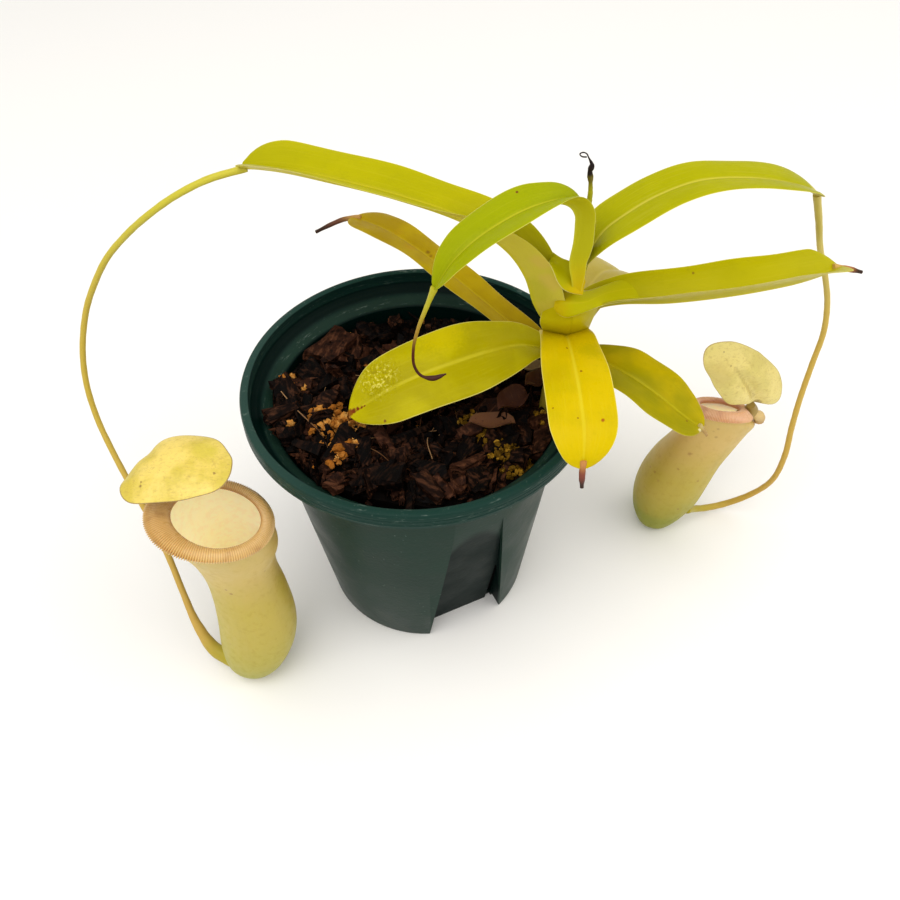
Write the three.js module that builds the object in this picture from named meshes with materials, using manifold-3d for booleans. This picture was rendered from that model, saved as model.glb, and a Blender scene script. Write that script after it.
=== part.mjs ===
// Potted pitcher plant: a tropical pitcher plant in a 105 mm nursery pot, with two grown pitchers
// that hang out over the rim on their tendrils and rest on the surface beside the pot.
// Millimetres, +Z up. The origin is the centre of the pot's base, on the surface it stands on.

import * as THREE from 'three';
import { mergeVertices } from 'three/addons/utils/BufferGeometryUtils.js';
import Module from 'manifold-3d';

const wasm = await Module();
wasm.setup();

// Pot
const POT = {
  height: 90,
  baseRadius: 34.2,
  wallTopRadius: 45.3,
  rimRadius: 52.5,
  rimWidth: 2.6,
  rimBand: 5.8,
  ledgeHeight: 80,
  wall: 1.5,
  floor: 1.6,
  edge: 1.1,
  sides: 60,
};
const PANEL = {
  count: 3,
  firstAngle: -68.6,
  baseDistance: 26,
  topDistance: 44.6,
  baseHalfWidth: 13.7,
  topHalfWidth: 6.9,
  topHeight: 76,
};
const SLIT = { width: 2.2, height: 52, depth: 8, inset: 1 };

// Soil
const SOIL_LEVEL = 77.5;
const CHIPS = { count: 38, seed: 7, spread: 38, length: [6, 13], width: [3.5, 7], thick: [2, 4] };

// Growth
const CLEARANCE = 0.35;
const BLADE_THICKNESS = 0.9;
const STEM_RADIUS = 2.3;

const v = (x, y, z) => new THREE.Vector3(x, y, z);
const degrees = (angle) => THREE.MathUtils.degToRad(angle);

function randomSource(seed) {
  let state = seed;
  return () => {
    state = (state * 16807) % 2147483647;
    return state / 2147483647;
  };
}

// A value that runs smoothly through a short list of stations spaced evenly from 0 to 1
function along(stations, t) {
  const place = Math.min(Math.max(t, 0), 1) * (stations.length - 1);
  const index = Math.min(Math.floor(place), stations.length - 2);
  const share = place - index;
  const eased = share * share * (3 - 2 * share);
  return stations[index] + (stations[index + 1] - stations[index]) * eased;
}

function closedGeometry(points, triangles) {
  const geometry = new THREE.BufferGeometry();
  const coordinates = points.flatMap((p) => p.toArray());
  geometry.setAttribute('position', new THREE.Float32BufferAttribute(coordinates, 3));
  geometry.setIndex(triangles.flat());
  return geometry;
}

// A body through a row of rings that each have the same number of points, closed at both ends
function loft(rings) {
  const sides = rings[0].length;
  const points = rings.flat();
  const triangles = [];
  for (let ring = 0; ring < rings.length - 1; ring += 1) {
    for (let side = 0; side < sides; side += 1) {
      const a = ring * sides + side;
      const b = ring * sides + ((side + 1) % sides);
      triangles.push([a, b, b + sides], [a, b + sides, a + sides]);
    }
  }
  const centre = (ring) => ring.reduce((sum, p) => sum.add(p), v(0, 0, 0)).divideScalar(ring.length);
  const last = (rings.length - 1) * sides;
  const startPole = points.push(centre(rings[0])) - 1;
  const endPole = points.push(centre(rings[rings.length - 1])) - 1;
  for (let side = 0; side < sides; side += 1) {
    const next = (side + 1) % sides;
    triangles.push([startPole, next, side], [endPole, last + side, last + next]);
  }
  return closedGeometry(points, triangles);
}

// A body whose rings run round a loop, such as the lip of a cup
function ringLoft(rings) {
  const sides = rings[0].length;
  const points = rings.flat();
  const triangles = [];
  for (let ring = 0; ring < rings.length; ring += 1) {
    const next = (ring + 1) % rings.length;
    for (let side = 0; side < sides; side += 1) {
      const turn = (side + 1) % sides;
      const [a, b] = [ring * sides + side, ring * sides + turn];
      const [c, d] = [next * sides + turn, next * sides + side];
      triangles.push([a, c, b], [a, d, c]);
    }
  }
  return closedGeometry(points, triangles);
}

function toSolid(geometry) {
  const bare = geometry.clone();
  bare.deleteAttribute('normal');
  bare.deleteAttribute('uv');
  const merged = mergeVertices(bare, 1e-4);
  return new wasm.Manifold(new wasm.Mesh({
    numProp: 3,
    vertProperties: new Float32Array(merged.attributes.position.array),
    triVerts: new Uint32Array(merged.index.array),
  }));
}

function toGeometry(solid) {
  const mesh = solid.getMesh();
  const geometry = new THREE.BufferGeometry();
  const coordinates = Float32Array.from(mesh.vertProperties);
  geometry.setAttribute('position', new THREE.BufferAttribute(coordinates, 3));
  geometry.setIndex(new THREE.BufferAttribute(Uint32Array.from(mesh.triVerts), 1));
  return geometry;
}

const plant = new THREE.Group();

function add(name, shape, colour, roughness) {
  const geometry = shape.isBufferGeometry ? shape : toGeometry(shape);
  const material = new THREE.MeshStandardMaterial({ color: colour, roughness, metalness: 0 });
  const mesh = new THREE.Mesh(geometry, material);
  mesh.name = name;
  plant.add(mesh);
}

// A round stalk along a path, its radius given at even stations
function stalk(path, radii, steps, sides) {
  const curve = new THREE.CatmullRomCurve3(path.map((p) => v(...p)), false, 'centripetal');
  const frames = curve.computeFrenetFrames(steps, false);
  const rings = [];
  for (let step = 0; step <= steps; step += 1) {
    const t = step / steps;
    const centre = curve.getPointAt(t);
    const radius = along(radii, t);
    rings.push(Array.from({ length: sides }, (_, side) => {
      const turn = (2 * Math.PI * side) / sides;
      return centre.clone()
        .addScaledVector(frames.normals[step], radius * Math.cos(turn))
        .addScaledVector(frames.binormals[step], radius * Math.sin(turn));
    }));
  }
  return loft(rings);
}

// The room that a neighbour leaves free for a stalk, past both of its ends too
function stalkRoom(path, radii, steps, sides) {
  const points = path.map((p) => v(...p));
  const [first, second] = points;
  const [beforeLast, last] = points.slice(-2);
  const start = first.clone().addScaledVector(first.clone().sub(second).normalize(), CLEARANCE);
  const end = last.clone().addScaledVector(last.clone().sub(beforeLast).normalize(), CLEARANCE);
  const longer = [start, ...points.slice(1, -1), end].map((p) => p.toArray());
  return stalk(longer, radii.map((radius) => radius + CLEARANCE), steps, sides);
}

// A lathe profile of [radius, height] pairs, turned about the Z axis
function turned(profile, sides) {
  const geometry = new THREE.LatheGeometry(profile.map(([r, z]) => new THREE.Vector2(r, z)), sides);
  return geometry.rotateX(Math.PI / 2);
}

// Pot: a tapered shell with a rim band, three flat recessed panels and a drainage slit beside each
function wallRadius(height) {
  return POT.baseRadius + ((POT.wallTopRadius - POT.baseRadius) * height) / (POT.height - POT.rimBand);
}

// The block outside a panel's leaning plane. A positive inset moves it into the pot and widens it.
function panelBlock(angle, inset) {
  const reach = POT.rimRadius + 6;
  const drop = 4;
  const lean = (PANEL.topDistance - PANEL.baseDistance) / PANEL.topHeight;
  const corner = (height, distance, half) => [
    v(distance - inset, -half - inset, height),
    v(reach, -half - inset, height),
    v(reach, half + inset, height),
    v(distance - inset, half + inset, height),
  ];
  const bottom = corner(-drop, PANEL.baseDistance - drop * lean, PANEL.baseHalfWidth);
  const top = corner(PANEL.topHeight + inset, PANEL.topDistance + inset * lean, PANEL.topHalfWidth);
  return loft([bottom, top]).rotateZ(degrees(angle));
}

function slitBlock(angle) {
  const box = new THREE.BoxGeometry(SLIT.depth, SLIT.width, SLIT.height * 2);
  box.translate(PANEL.baseDistance + SLIT.depth / 2 - SLIT.inset, PANEL.baseHalfWidth - SLIT.width, 0);
  return box.rotateZ(degrees(angle));
}

const panelAngles = Array.from({ length: PANEL.count }, (_, index) => (
  PANEL.firstAngle + (360 / PANEL.count) * index
));

function potCavity(gap, top) {
  const inner = (height) => wallRadius(height) - POT.wall - gap;
  const profile = [
    [0, POT.floor + gap], [inner(POT.floor), POT.floor + gap], [inner(POT.ledgeHeight), POT.ledgeHeight + 1],
  ];
  if (top > POT.height) {
    profile.push([POT.rimRadius - POT.rimWidth, POT.ledgeHeight + 6.4], [POT.rimRadius - POT.rimWidth, top]);
  }
  profile.push([0, top]);
  return panelAngles.reduce(
    (cavity, angle) => cavity.subtract(toSolid(panelBlock(angle, POT.wall + gap))),
    toSolid(turned(profile, POT.sides)),
  );
}

function makePot() {
  const band = POT.height - POT.rimBand;
  const outer = [
    [0, 0], [POT.baseRadius - POT.edge, 0], [POT.baseRadius, POT.edge],
    [wallRadius(POT.ledgeHeight), POT.ledgeHeight], [POT.rimRadius - 2.3, band], [POT.rimRadius - 0.3, band],
    [POT.rimRadius, band + 1], [POT.rimRadius, POT.height - POT.edge],
    [POT.rimRadius - POT.edge, POT.height], [0, POT.height],
  ];
  let body = toSolid(turned(outer, POT.sides));
  panelAngles.forEach((angle) => {
    body = body.subtract(toSolid(panelBlock(angle, 0)));
  });
  body = body.subtract(potCavity(0, POT.height + 2));
  panelAngles.forEach((angle) => {
    body = body.subtract(toSolid(slitBlock(angle)));
  });
  return body;
}

// Soil: the fill under a low mound, with bark chips sunk into its top
function makeSoil() {
  const random = randomSource(CHIPS.seed);
  const between = ([low, high]) => low + (high - low) * random();
  let soil = potCavity(CLEARANCE, SOIL_LEVEL);
  for (let chip = 0; chip < CHIPS.count; chip += 1) {
    const radius = CHIPS.spread * Math.sqrt((chip + 0.5) / CHIPS.count);
    const turn = chip * degrees(137.5);
    const bark = new THREE.BoxGeometry(between(CHIPS.length), between(CHIPS.width), between(CHIPS.thick));
    bark.rotateX(degrees(50) * (random() - 0.5));
    bark.rotateY(degrees(50) * (random() - 0.5));
    bark.rotateZ(2 * Math.PI * random());
    bark.translate(radius * Math.cos(turn), radius * Math.sin(turn), SOIL_LEVEL + random() - 0.2);
    soil = soil.add(toSolid(bark));
  }
  return soil.intersect(potCavity(CLEARANCE, POT.ledgeHeight));
}

// Leaves. Each follows its midrib: 'heading' is the compass way it grows, 'half' its half width at
// even stations, 'fold' the rise of the two halves into a V and 'roll' the turn about the midrib.
const LEAVES = {
  leaf_1: {
    rib: [
      [41, 3.2, 103.4], [37.2, 0, 110], [34, -2, 117.4], [31, -2.4, 127], [25.6, -3.4, 136.8],
      [15.4, -3, 144.2], [-2, 2.2, 149.8], [-26.6, 11.7, 152.6], [-36.7, 16.8, 151.5], [-41.4, 19.2, 150.7],
    ],
    heading: 163,
    half: [7.0, 8.8, 9.0, 9.2, 9.4, 9.6, 9.6, 8.6, 1.2],
    fold: [60, 58, 52, 46, 44, 44, 42, 38, 24],
    roll: [-20, -20, -20, -20, -20, -20, -20, -18, -12],
    colour: 0xbdb61c,
  },
  leaf_2: {
    rib: [
      [44.8, -3, 137.4], [45.1, -4.7, 144], [44.6, -5.3, 149], [40.6, -6.5, 152.2], [34.2, -9.8, 153.8],
      [26.4, -13.7, 154.2], [16.5, -18.7, 151.8], [10.3, -21, 147.2], [5.6, -22.2, 140.4],
    ],
    heading: 207,
    half: [2.4, 2.4, 3.2, 5.8, 7.6, 7.6, 6.0, 3.6, 1.1],
    fold: [66, 56, 36, 24, 18, 18, 20, 24, 26],
    roll: [0, 0, -2, -4, -4, -4, -4, -2, 0],
    colour: 0xb3be22,
  },
  leaf_3: {
    rib: [
      [40.6, 1.8, 91], [36, 7, 94.4], [30.6, 12, 96.8], [22.7, 19.5, 100.2], [12.8, 30.2, 103.5],
      [1.1, 43.8, 105.5], [-7.2, 53.1, 105.5], [-17.2, 63.6, 103.6],
    ],
    heading: 135,
    half: [3.0, 4.8, 6.2, 6.6, 6.4, 5.6, 1.2],
    fold: [30, 20, 14, 12, 12, 14, 16],
    roll: [0, -4, -8, -10, -10, -8, -4],
    colour: 0xc2a51b,
  },
  leaf_4: {
    rib: [
      [39.1, 1.4, 97], [30.5, 0.2, 100], [21.5, -2.7, 101], [11.2, -5.9, 100.5],
      [1, -8.3, 98.5], [-9.3, -10.7, 95], [-19.8, -13.1, 89.2],
    ],
    heading: 193,
    half: [4.6, 8.6, 10.8, 11.4, 11.2, 9.4, 1.4],
    fold: [26, 12, 6, 5, 5, 6, 6],
    roll: [6, 14, 20, 22, 22, 20, 14],
    colour: 0xb9b31c,
  },
  leaf_5: {
    rib: [
      [43.3, -1.4, 101.8], [43, -7.2, 105.4], [42.7, -20.5, 109], [42.4, -32.3, 109],
      [42.1, -40.6, 106.5], [41.6, -45.4, 102.6], [41.4, -47.1, 99],
    ],
    heading: 269,
    half: [6.0, 7.8, 8.8, 9.2, 9.2, 7.6, 1.4],
    fold: [22, 10, 6, 5, 5, 6, 6],
    roll: [0, 0, 0, 0, 0, 0, 0],
    colour: 0xcfc008,
  },
  leaf_6: {
    rib: [
      [46.8, 1.2, 92], [54, -3.6, 95.4], [61.7, -12.2, 96], [68, -18.2, 93.4],
      [75, -22.4, 89.8], [80, -25.1, 86.4],
    ],
    heading: 318,
    half: [4.0, 6.0, 7.2, 7.6, 7.4, 6.2, 1.2],
    fold: [24, 14, 10, 8, 8, 8, 8],
    roll: [-4, -6, -10, -12, -12, -10, -8],
    colour: 0xb5ab1a,
  },
  leaf_7: {
    rib: [
      [48, 3.2, 106], [51.8, 3, 109], [58.3, 0.5, 113], [71, -3.4, 116.6], [87.9, -5.4, 119.8],
      [103.5, -3.4, 120.6], [115.2, 1, 119.5], [120.5, 4.8, 118.5],
    ],
    heading: 358,
    half: [5.0, 7.2, 8.6, 9.2, 9.2, 8.0, 1.3],
    fold: [56, 50, 47, 46, 44, 40, 24],
    roll: [10, 14, 18, 18, 18, 16, 10],
    colour: 0xc0ba1c,
  },
  leaf_8: {
    rib: [
      [48, 4, 125], [50, 3.9, 132], [54.4, 3.6, 138.4], [62.8, 4, 144.6], [75, 3.6, 148],
      [89.6, 3.6, 148.4], [100.8, 5.6, 146], [107.5, 8.2, 142], [110.3, 9.2, 139.4],
    ],
    heading: 6,
    half: [4.6, 7.0, 8.6, 9.4, 9.2, 7.6, 1.4],
    fold: [44, 34, 28, 26, 25, 24, 20],
    roll: [10, 16, 22, 25, 25, 20, 12],
    colour: 0xbfba22,
  },
  leaf_9: {
    rib: [
      [44.6, 3.4, 99], [48.4, 9, 103], [53.6, 18, 106], [60.6, 26, 106.4], [69, 33, 101.6],
      [76, 38, 93],
    ],
    heading: 45,
    half: [4.4, 6.8, 8.4, 8.6, 7.8, 6.0, 1.2],
    fold: [30, 20, 14, 12, 12, 12, 12],
    roll: [0, 0, 0, 0, 0, 0, 0],
    colour: 0xcabf6c,
  },
};
const BLADE_ROWS = 13;
const BLADE_COLUMNS = 6;
const BLADE_ARCH = 0.1;

function bladeSurface(leaf) {
  const curve = new THREE.CatmullRomCurve3(leaf.rib.map((p) => v(...p)), false, 'centripetal');
  const heading = degrees(leaf.heading);
  const right = v(Math.sin(heading), -Math.cos(heading), 0);
  return (t, across, lift) => {
    const tangent = curve.getTangentAt(t);
    const side = right.clone().addScaledVector(tangent, -right.dot(tangent)).normalize();
    const face = side.clone().cross(tangent);
    const roll = degrees(along(leaf.roll, t));
    const fold = degrees(along(leaf.fold, t));
    const half = along(leaf.half, t);
    const turnedSide = side.clone().multiplyScalar(Math.cos(roll)).addScaledVector(face, Math.sin(roll));
    const turnedFace = face.clone().multiplyScalar(Math.cos(roll)).addScaledVector(side, -Math.sin(roll));
    const rise = half * (Math.abs(across) * Math.sin(fold) - BLADE_ARCH * across * across);
    return curve.getPointAt(t)
      .addScaledVector(turnedSide, half * across * Math.cos(fold))
      .addScaledVector(turnedFace, rise + lift);
  };
}

function makeBlade(leaf) {
  const surface = bladeSurface(leaf);
  const points = [];
  const width = BLADE_COLUMNS + 1;
  const faces = [BLADE_THICKNESS / 2, -BLADE_THICKNESS / 2];
  faces.forEach((lift) => {
    for (let row = 0; row <= BLADE_ROWS; row += 1) {
      for (let column = 0; column <= BLADE_COLUMNS; column += 1) {
        points.push(surface(row / BLADE_ROWS, (2 * column) / BLADE_COLUMNS - 1, lift));
      }
    }
  });
  const under = (BLADE_ROWS + 1) * width;
  const triangles = [];
  for (let row = 0; row < BLADE_ROWS; row += 1) {
    for (let column = 0; column < BLADE_COLUMNS; column += 1) {
      const a = row * width + column;
      const [b, c, d] = [a + 1, a + 1 + width, a + width];
      triangles.push([a, b, c], [a, c, d]);
      triangles.push([a + under, c + under, b + under], [a + under, d + under, c + under]);
    }
    const left = row * width;
    const right = left + BLADE_COLUMNS;
    const leftUnder = left + under;
    const rightUnder = right + under;
    triangles.push([left, left + width, leftUnder + width], [left, leftUnder + width, leftUnder]);
    triangles.push([right, rightUnder + width, right + width], [right, rightUnder, rightUnder + width]);
  }
  const last = BLADE_ROWS * width;
  for (let column = 0; column < BLADE_COLUMNS; column += 1) {
    const end = last + column;
    triangles.push([column, column + under + 1, column + 1], [column, column + under, column + under + 1]);
    triangles.push([end, end + 1, end + under + 1], [end, end + under + 1, end + under]);
  }
  return closedGeometry(points, triangles);
}

// The dried ends that the midribs of the older leaves run out into
const STUBS = {
  leaf_3: {
    path: [[-16, 62.6, 104], [-20.4, 63.8, 102.8], [-24.9, 64, 101], [-30.6, 64.3, 98]],
    radii: [0.9, 0.8, 0.7],
  },
  leaf_5: {
    path: [[41.5, -46.4, 100.4], [41.3, -47.8, 96.6], [41.4, -48.6, 93]],
    radii: [0.9, 0.8, 0.6],
  },
  leaf_6: {
    path: [[79.2, -24.7, 88.2], [80.9, -25.3, 86], [81.9, -25.4, 84.3]],
    radii: [0.9, 0.7, 0.5],
  },
  leaf_7: {
    path: [[119.2, 4, 119.2], [123.6, 4.2, 117.8], [127.6, 4, 116.6]],
    radii: [0.9, 0.8, 0.6],
  },
};

// Tendrils, each the run-out of a midrib. The long two end in the grown pitchers.
const TENDRILS = {
  tendril_leaf_1: {
    path: [
      [-42.2, 19.6, 150.4], [-51.5, 18.2, 148.4], [-61.2, 18.4, 143.8], [-70.5, 20.1, 137],
      [-78.6, 22.7, 129.5], [-86.6, 24.3, 121], [-93.4, 25.2, 111], [-98.8, 25.2, 101],
      [-103.2, 22.6, 88], [-104.6, 18.9, 77], [-103.6, 14.3, 66], [-100.6, 8.6, 58],
      [-96.2, 1.6, 50.5], [-90.1, -6.6, 41], [-85.2, -15, 33], [-81.3, -23.7, 25],
      [-77.9, -31.2, 17.4], [-73, -38, 10.4], [-67, -42.2, 7],
    ],
    radii: [1.1, 0.95, 0.95, 0.95, 0.95, 0.95, 1, 1.1, 1.3, 1.9],
    steps: 38,
    colour: 0xc8b43c,
  },
  tendril_leaf_2: {
    path: [
      [5.3, -22.4, 139.6], [3.4, -21.7, 134], [1.1, -20.7, 126.5], [-0.4, -19.4, 118.6],
      [-0.4, -19.2, 112.2], [1.2, -19.9, 109.4], [4.3, -20.7, 108.9], [7.9, -20.9, 110.4],
    ],
    radii: [1, 0.8, 0.7, 0.6, 0.6, 0.6, 1.1, 0.4],
    steps: 22,
    colour: 0x8a5a20,
  },
  tendril_leaf_8: {
    path: [
      [110.7, 9.5, 138.7], [113.7, 10.4, 130], [117, 11.5, 120.5], [121.8, 12.4, 109.5],
      [125.3, 12, 99], [126.4, 10.2, 89], [125.6, 8.8, 77], [124.8, 7.2, 63],
      [124.6, 5.6, 51], [125, 4.2, 37.5], [123.8, 4.6, 24.4], [119.2, 8, 12.4],
      [111.8, 11.4, 4.6], [104.6, 12.4, 2.4], [97, 12, 3.4],
    ],
    radii: [1.1, 0.9, 0.9, 0.9, 0.95, 1, 1, 1.1, 1.6],
    steps: 34,
    colour: 0xc8aa48,
  },
};

// Pitchers. 'axis' runs from the flat spot that the cup rests on to the middle of its mouth;
// 'long' and 'short' are the half widths along the mouth's two directions.
const PITCHERS = {
  left: {
    axis: [
      [-60.2, -42.8, 0], [-59.8, -42.4, 2], [-59, -41.6, 7], [-57, -39.6, 15], [-55.6, -38, 25],
      [-55.4, -36.8, 38], [-56, -36.2, 50], [-57.2, -36.6, 61], [-58.8, -37.4, 70], [-60.2, -38.4, 78.2],
    ],
    long: [3, 6.5, 9.8, 11.9, 12.3, 11.8, 11.6, 12.2, 13.8, 15.4],
    short: [3, 6.5, 9.8, 11.9, 12.3, 11.8, 11.2, 11.6, 12.4, 13.2],
    mouthLong: [0.96, 0.04, -0.28],
    mouthShort: [0.04, -1, 0],
    lip: { long: 14.9, short: 12.7, width: 3.0, drop: 1.9 },
    lid: {
      centre: [-65.6, -32.6, 92.4], length: [0.95, 0.1, 0.26], width: [-0.05, -0.99, -0.08],
      halfLength: 15.8, halfWidth: 12.2, dome: 3.6, crease: 0.6,
    },
    neck: [[-73.8, -39, 87.6], [-75, -38.6, 89.6], [-74.8, -37.4, 91.8]],
    spur: [[-74.4, -38.8, 89.2], [-77.6, -39.4, 87.4], [-79.6, -39.8, 84.4]],
    colour: 0xcdbb6c,
    lipColour: 0xd9a868,
    lidColour: 0xd8c45e,
  },
  right: {
    axis: [
      [87.4, 9.2, 0], [87.8, 9.8, 2], [89, 11.2, 7], [90.6, 12, 14], [91.6, 11.6, 23],
      [93.4, 11.2, 33], [96, 10, 42], [98.8, 8.2, 51], [100.6, 7, 57], [101.6, 6.2, 61],
    ],
    long: [3, 6.4, 9.6, 11.8, 12.2, 11.4, 10.4, 10.0, 10.6, 11.4],
    short: [3, 6.4, 9.6, 11.8, 12.2, 11.4, 10.2, 9.6, 9.8, 10.0],
    mouthLong: [0.846, 0.07, -0.53],
    mouthShort: [0.03, -0.95, 0.3],
    lip: { long: 11.4, short: 9.6, width: 2.4, drop: 1.6 },
    lid: {
      centre: [102.2, 4.6, 77.4], length: [0.4, 0.43, 0.81], width: [0.87, 0.1, -0.48],
      halfLength: 10.4, halfWidth: 14.2, dome: 3, crease: 1.2,
    },
    neck: [[113.2, 8, 58.8], [111, 5.8, 62.6], [106, 3.4, 66.4]],
    spur: [[112.4, 7.2, 60.4], [115.4, 7.6, 59.2], [117, 7.4, 56.8]],
    colour: 0xbcae50,
    lipColour: 0xd8a478,
    lidColour: 0xe0cf74,
  },
};
const CUP = { sides: 18, steps: 13, wall: 0.9 };
const LIP = { ribs: 26, section: 6, relief: 0.22, droop: 0.6 };
const LID = { sides: 22, rings: 3, thickness: 0.9 };

// Rings of a cup's wall, drawn in by 'inset'; the rings turn from level to the tilt of the mouth
function cupRings(pitcher, inset, start) {
  const curve = new THREE.CatmullRomCurve3(pitcher.axis.map((p) => v(...p)), false, 'centripetal');
  const rings = [];
  for (let step = 0; step <= CUP.steps; step += 1) {
    const t = start + ((1 - start) * step) / CUP.steps;
    const tilt = THREE.MathUtils.smoothstep(t, 0.25, 1);
    const longWay = v(1, 0, 0).lerp(v(...pitcher.mouthLong), tilt).normalize();
    const shortWay = v(0, -1, 0).lerp(v(...pitcher.mouthShort), tilt).normalize();
    const centre = curve.getPoint(t);
    const long = along(pitcher.long, t) - inset;
    const short = along(pitcher.short, t) - inset;
    rings.push(Array.from({ length: CUP.sides }, (_, side) => {
      const turn = (2 * Math.PI * side) / CUP.sides;
      return centre.clone()
        .addScaledVector(longWay, long * Math.cos(turn))
        .addScaledVector(shortWay, -short * Math.sin(turn));
    }));
  }
  return rings;
}

function makeCup(pitcher) {
  const outer = cupRings(pitcher, 0, 0);
  const inner = cupRings(pitcher, CUP.wall, 0.12).reverse();
  return loft([...outer, ...inner]);
}

function cupRoom(pitcher) {
  return toSolid(loft(cupRings(pitcher, -CLEARANCE, 0)));
}

// The ribbed lip that rolls outwards round the mouth, 'room' fatter where it cuts a neighbour
function makeLip(pitcher, room = 0) {
  const { lip } = pitcher;
  const centre = v(...pitcher.axis[pitcher.axis.length - 1]);
  const longWay = v(...pitcher.mouthLong).normalize();
  const shortWay = v(...pitcher.mouthShort).normalize();
  const up = shortWay.clone().cross(longWay).normalize();
  const stations = LIP.ribs * 2;
  const rings = Array.from({ length: stations }, (_, station) => {
    const turn = (2 * Math.PI * station) / stations;
    const relief = station % 2 ? LIP.relief : -LIP.relief;
    const out = longWay.clone().multiplyScalar(Math.cos(turn) / lip.long)
      .addScaledVector(shortWay, -Math.sin(turn) / lip.short).normalize();
    const middle = centre.clone()
      .addScaledVector(longWay, lip.long * Math.cos(turn))
      .addScaledVector(shortWay, -lip.short * Math.sin(turn))
      .addScaledVector(up, lip.drop + CLEARANCE);
    const reach = lip.width + relief + room;
    const rise = lip.drop + relief / 2 + room;
    return Array.from({ length: LIP.section }, (_, corner) => {
      const bend = (2 * Math.PI * corner) / LIP.section;
      const height = rise * Math.sin(bend) - LIP.droop * Math.max(Math.cos(bend), 0);
      return middle.clone()
        .addScaledVector(out, reach * Math.cos(bend))
        .addScaledVector(up, height);
    });
  });
  return ringLoft(rings);
}

// The domed lid, creased along its middle, with the neck that carries it and the spur behind
function makeLid(pitcher) {
  const { lid } = pitcher;
  const lengthWay = v(...lid.length).normalize();
  const widthWay = v(...lid.width).normalize();
  const up = lengthWay.clone().cross(widthWay).normalize();
  if (up.z < 0) up.negate();
  const plate = (share, lift) => Array.from({ length: LID.sides }, (_, side) => {
    const turn = (2 * Math.PI * side) / LID.sides;
    const x = share * Math.cos(turn);
    const y = share * Math.sin(turn);
    const height = lid.dome * (1 - share * share) - lid.crease * Math.exp(-y * y * 30) + lift;
    return v(...lid.centre)
      .addScaledVector(lengthWay, lid.halfLength * x)
      .addScaledVector(widthWay, lid.halfWidth * y)
      .addScaledVector(up, height);
  });
  const shares = Array.from({ length: LID.rings }, (_, ring) => (ring + 0.4) / (LID.rings - 0.6));
  const top = shares.map((share) => plate(share, LID.thickness / 2));
  const bottom = shares.map((share) => plate(share, -LID.thickness / 2)).reverse();
  return toSolid(loft([...top, ...bottom]))
    .add(toSolid(stalk(pitcher.neck, [1.5, 1.3, 1.2], 6, 8)))
    .add(toSolid(stalk(pitcher.spur, [1.1, 1, 0.7], 4, 8)))
    .subtract(toSolid(makeLip(pitcher, CLEARANCE)));
}

// The new leaf, still furled, with the dark curled tip of its tendril
const NEW_LEAF = {
  path: [
    [47, -1.6, 143.8], [46.8, -1, 148], [46.4, -0.2, 152], [46.1, 0, 156], [45.6, 0.2, 158.8],
    [44.7, 0.4, 160.8], [43.4, 0.5, 160.9],
  ],
  radii: [1.4, 1.1, 0.8, 0.7, 1.0, 0.5, 0.4],
};

const stemPath = [
  [38.6, -4.2, 74], [39.8, -3.2, 84], [42.8, 0, 100], [45, 1.6, 118], [46.6, 0, 133], [47, -1.8, 143],
];
const stemRadii = [STEM_RADIUS, 2.5, 2.6, 2.3, 1.9, 1.5];
const stem = toSolid(stalk(stemPath, stemRadii, 14, 10));
const stemRoom = toSolid(stalkRoom(stemPath, stemRadii, 14, 10));
const newLeafRoom = toSolid(stalkRoom(NEW_LEAF.path, NEW_LEAF.radii, 14, 7));

add('pot', makePot(), 0x24423a, 0.4);
add('soil', makeSoil().subtract(stemRoom), 0x2c1a12, 0.95);
add('stem', stem, 0xb4b02c, 0.5);

Object.entries(LEAVES).forEach(([name, leaf]) => {
  let blade = toSolid(makeBlade(leaf)).subtract(stemRoom).subtract(newLeafRoom);
  if (STUBS[name]) {
    blade = blade.add(toSolid(stalk(STUBS[name].path, STUBS[name].radii, 4, 6)));
  }
  add(name, blade, leaf.colour, 0.4);
});

Object.entries(PITCHERS).forEach(([side, pitcher]) => {
  add(`pitcher_${side}_cup`, makeCup(pitcher), pitcher.colour, 0.45);
  add(`pitcher_${side}_lip`, makeLip(pitcher), pitcher.lipColour, 0.4);
  add(`pitcher_${side}_lid`, makeLid(pitcher), pitcher.lidColour, 0.5);
});

Object.entries(TENDRILS).forEach(([name, tendril]) => {
  const body = toSolid(stalk(tendril.path, tendril.radii, tendril.steps, 6));
  const clear = Object.values(PITCHERS).reduce((rest, pitcher) => rest.subtract(cupRoom(pitcher)), body);
  add(name, clear, tendril.colour, 0.45);
});

add('new_leaf', stalk(NEW_LEAF.path, NEW_LEAF.radii, 14, 7), 0x9aa022, 0.5);

export default plant;
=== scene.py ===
"""Potted tropical pitcher plant in a dark green nursery pot, with two grown pitchers beside it.

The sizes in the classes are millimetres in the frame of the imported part: +Z up, the origin at the
centre of the pot's base. Meshes are written in metres, in the same frame.
"""

import logging
import math
import random
from contextlib import contextmanager
from dataclasses import dataclass
from enum import Enum
from typing import Callable, Iterator, Optional, Sequence

import bpy
import numpy as np
from mathutils import Matrix, Vector, noise

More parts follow.
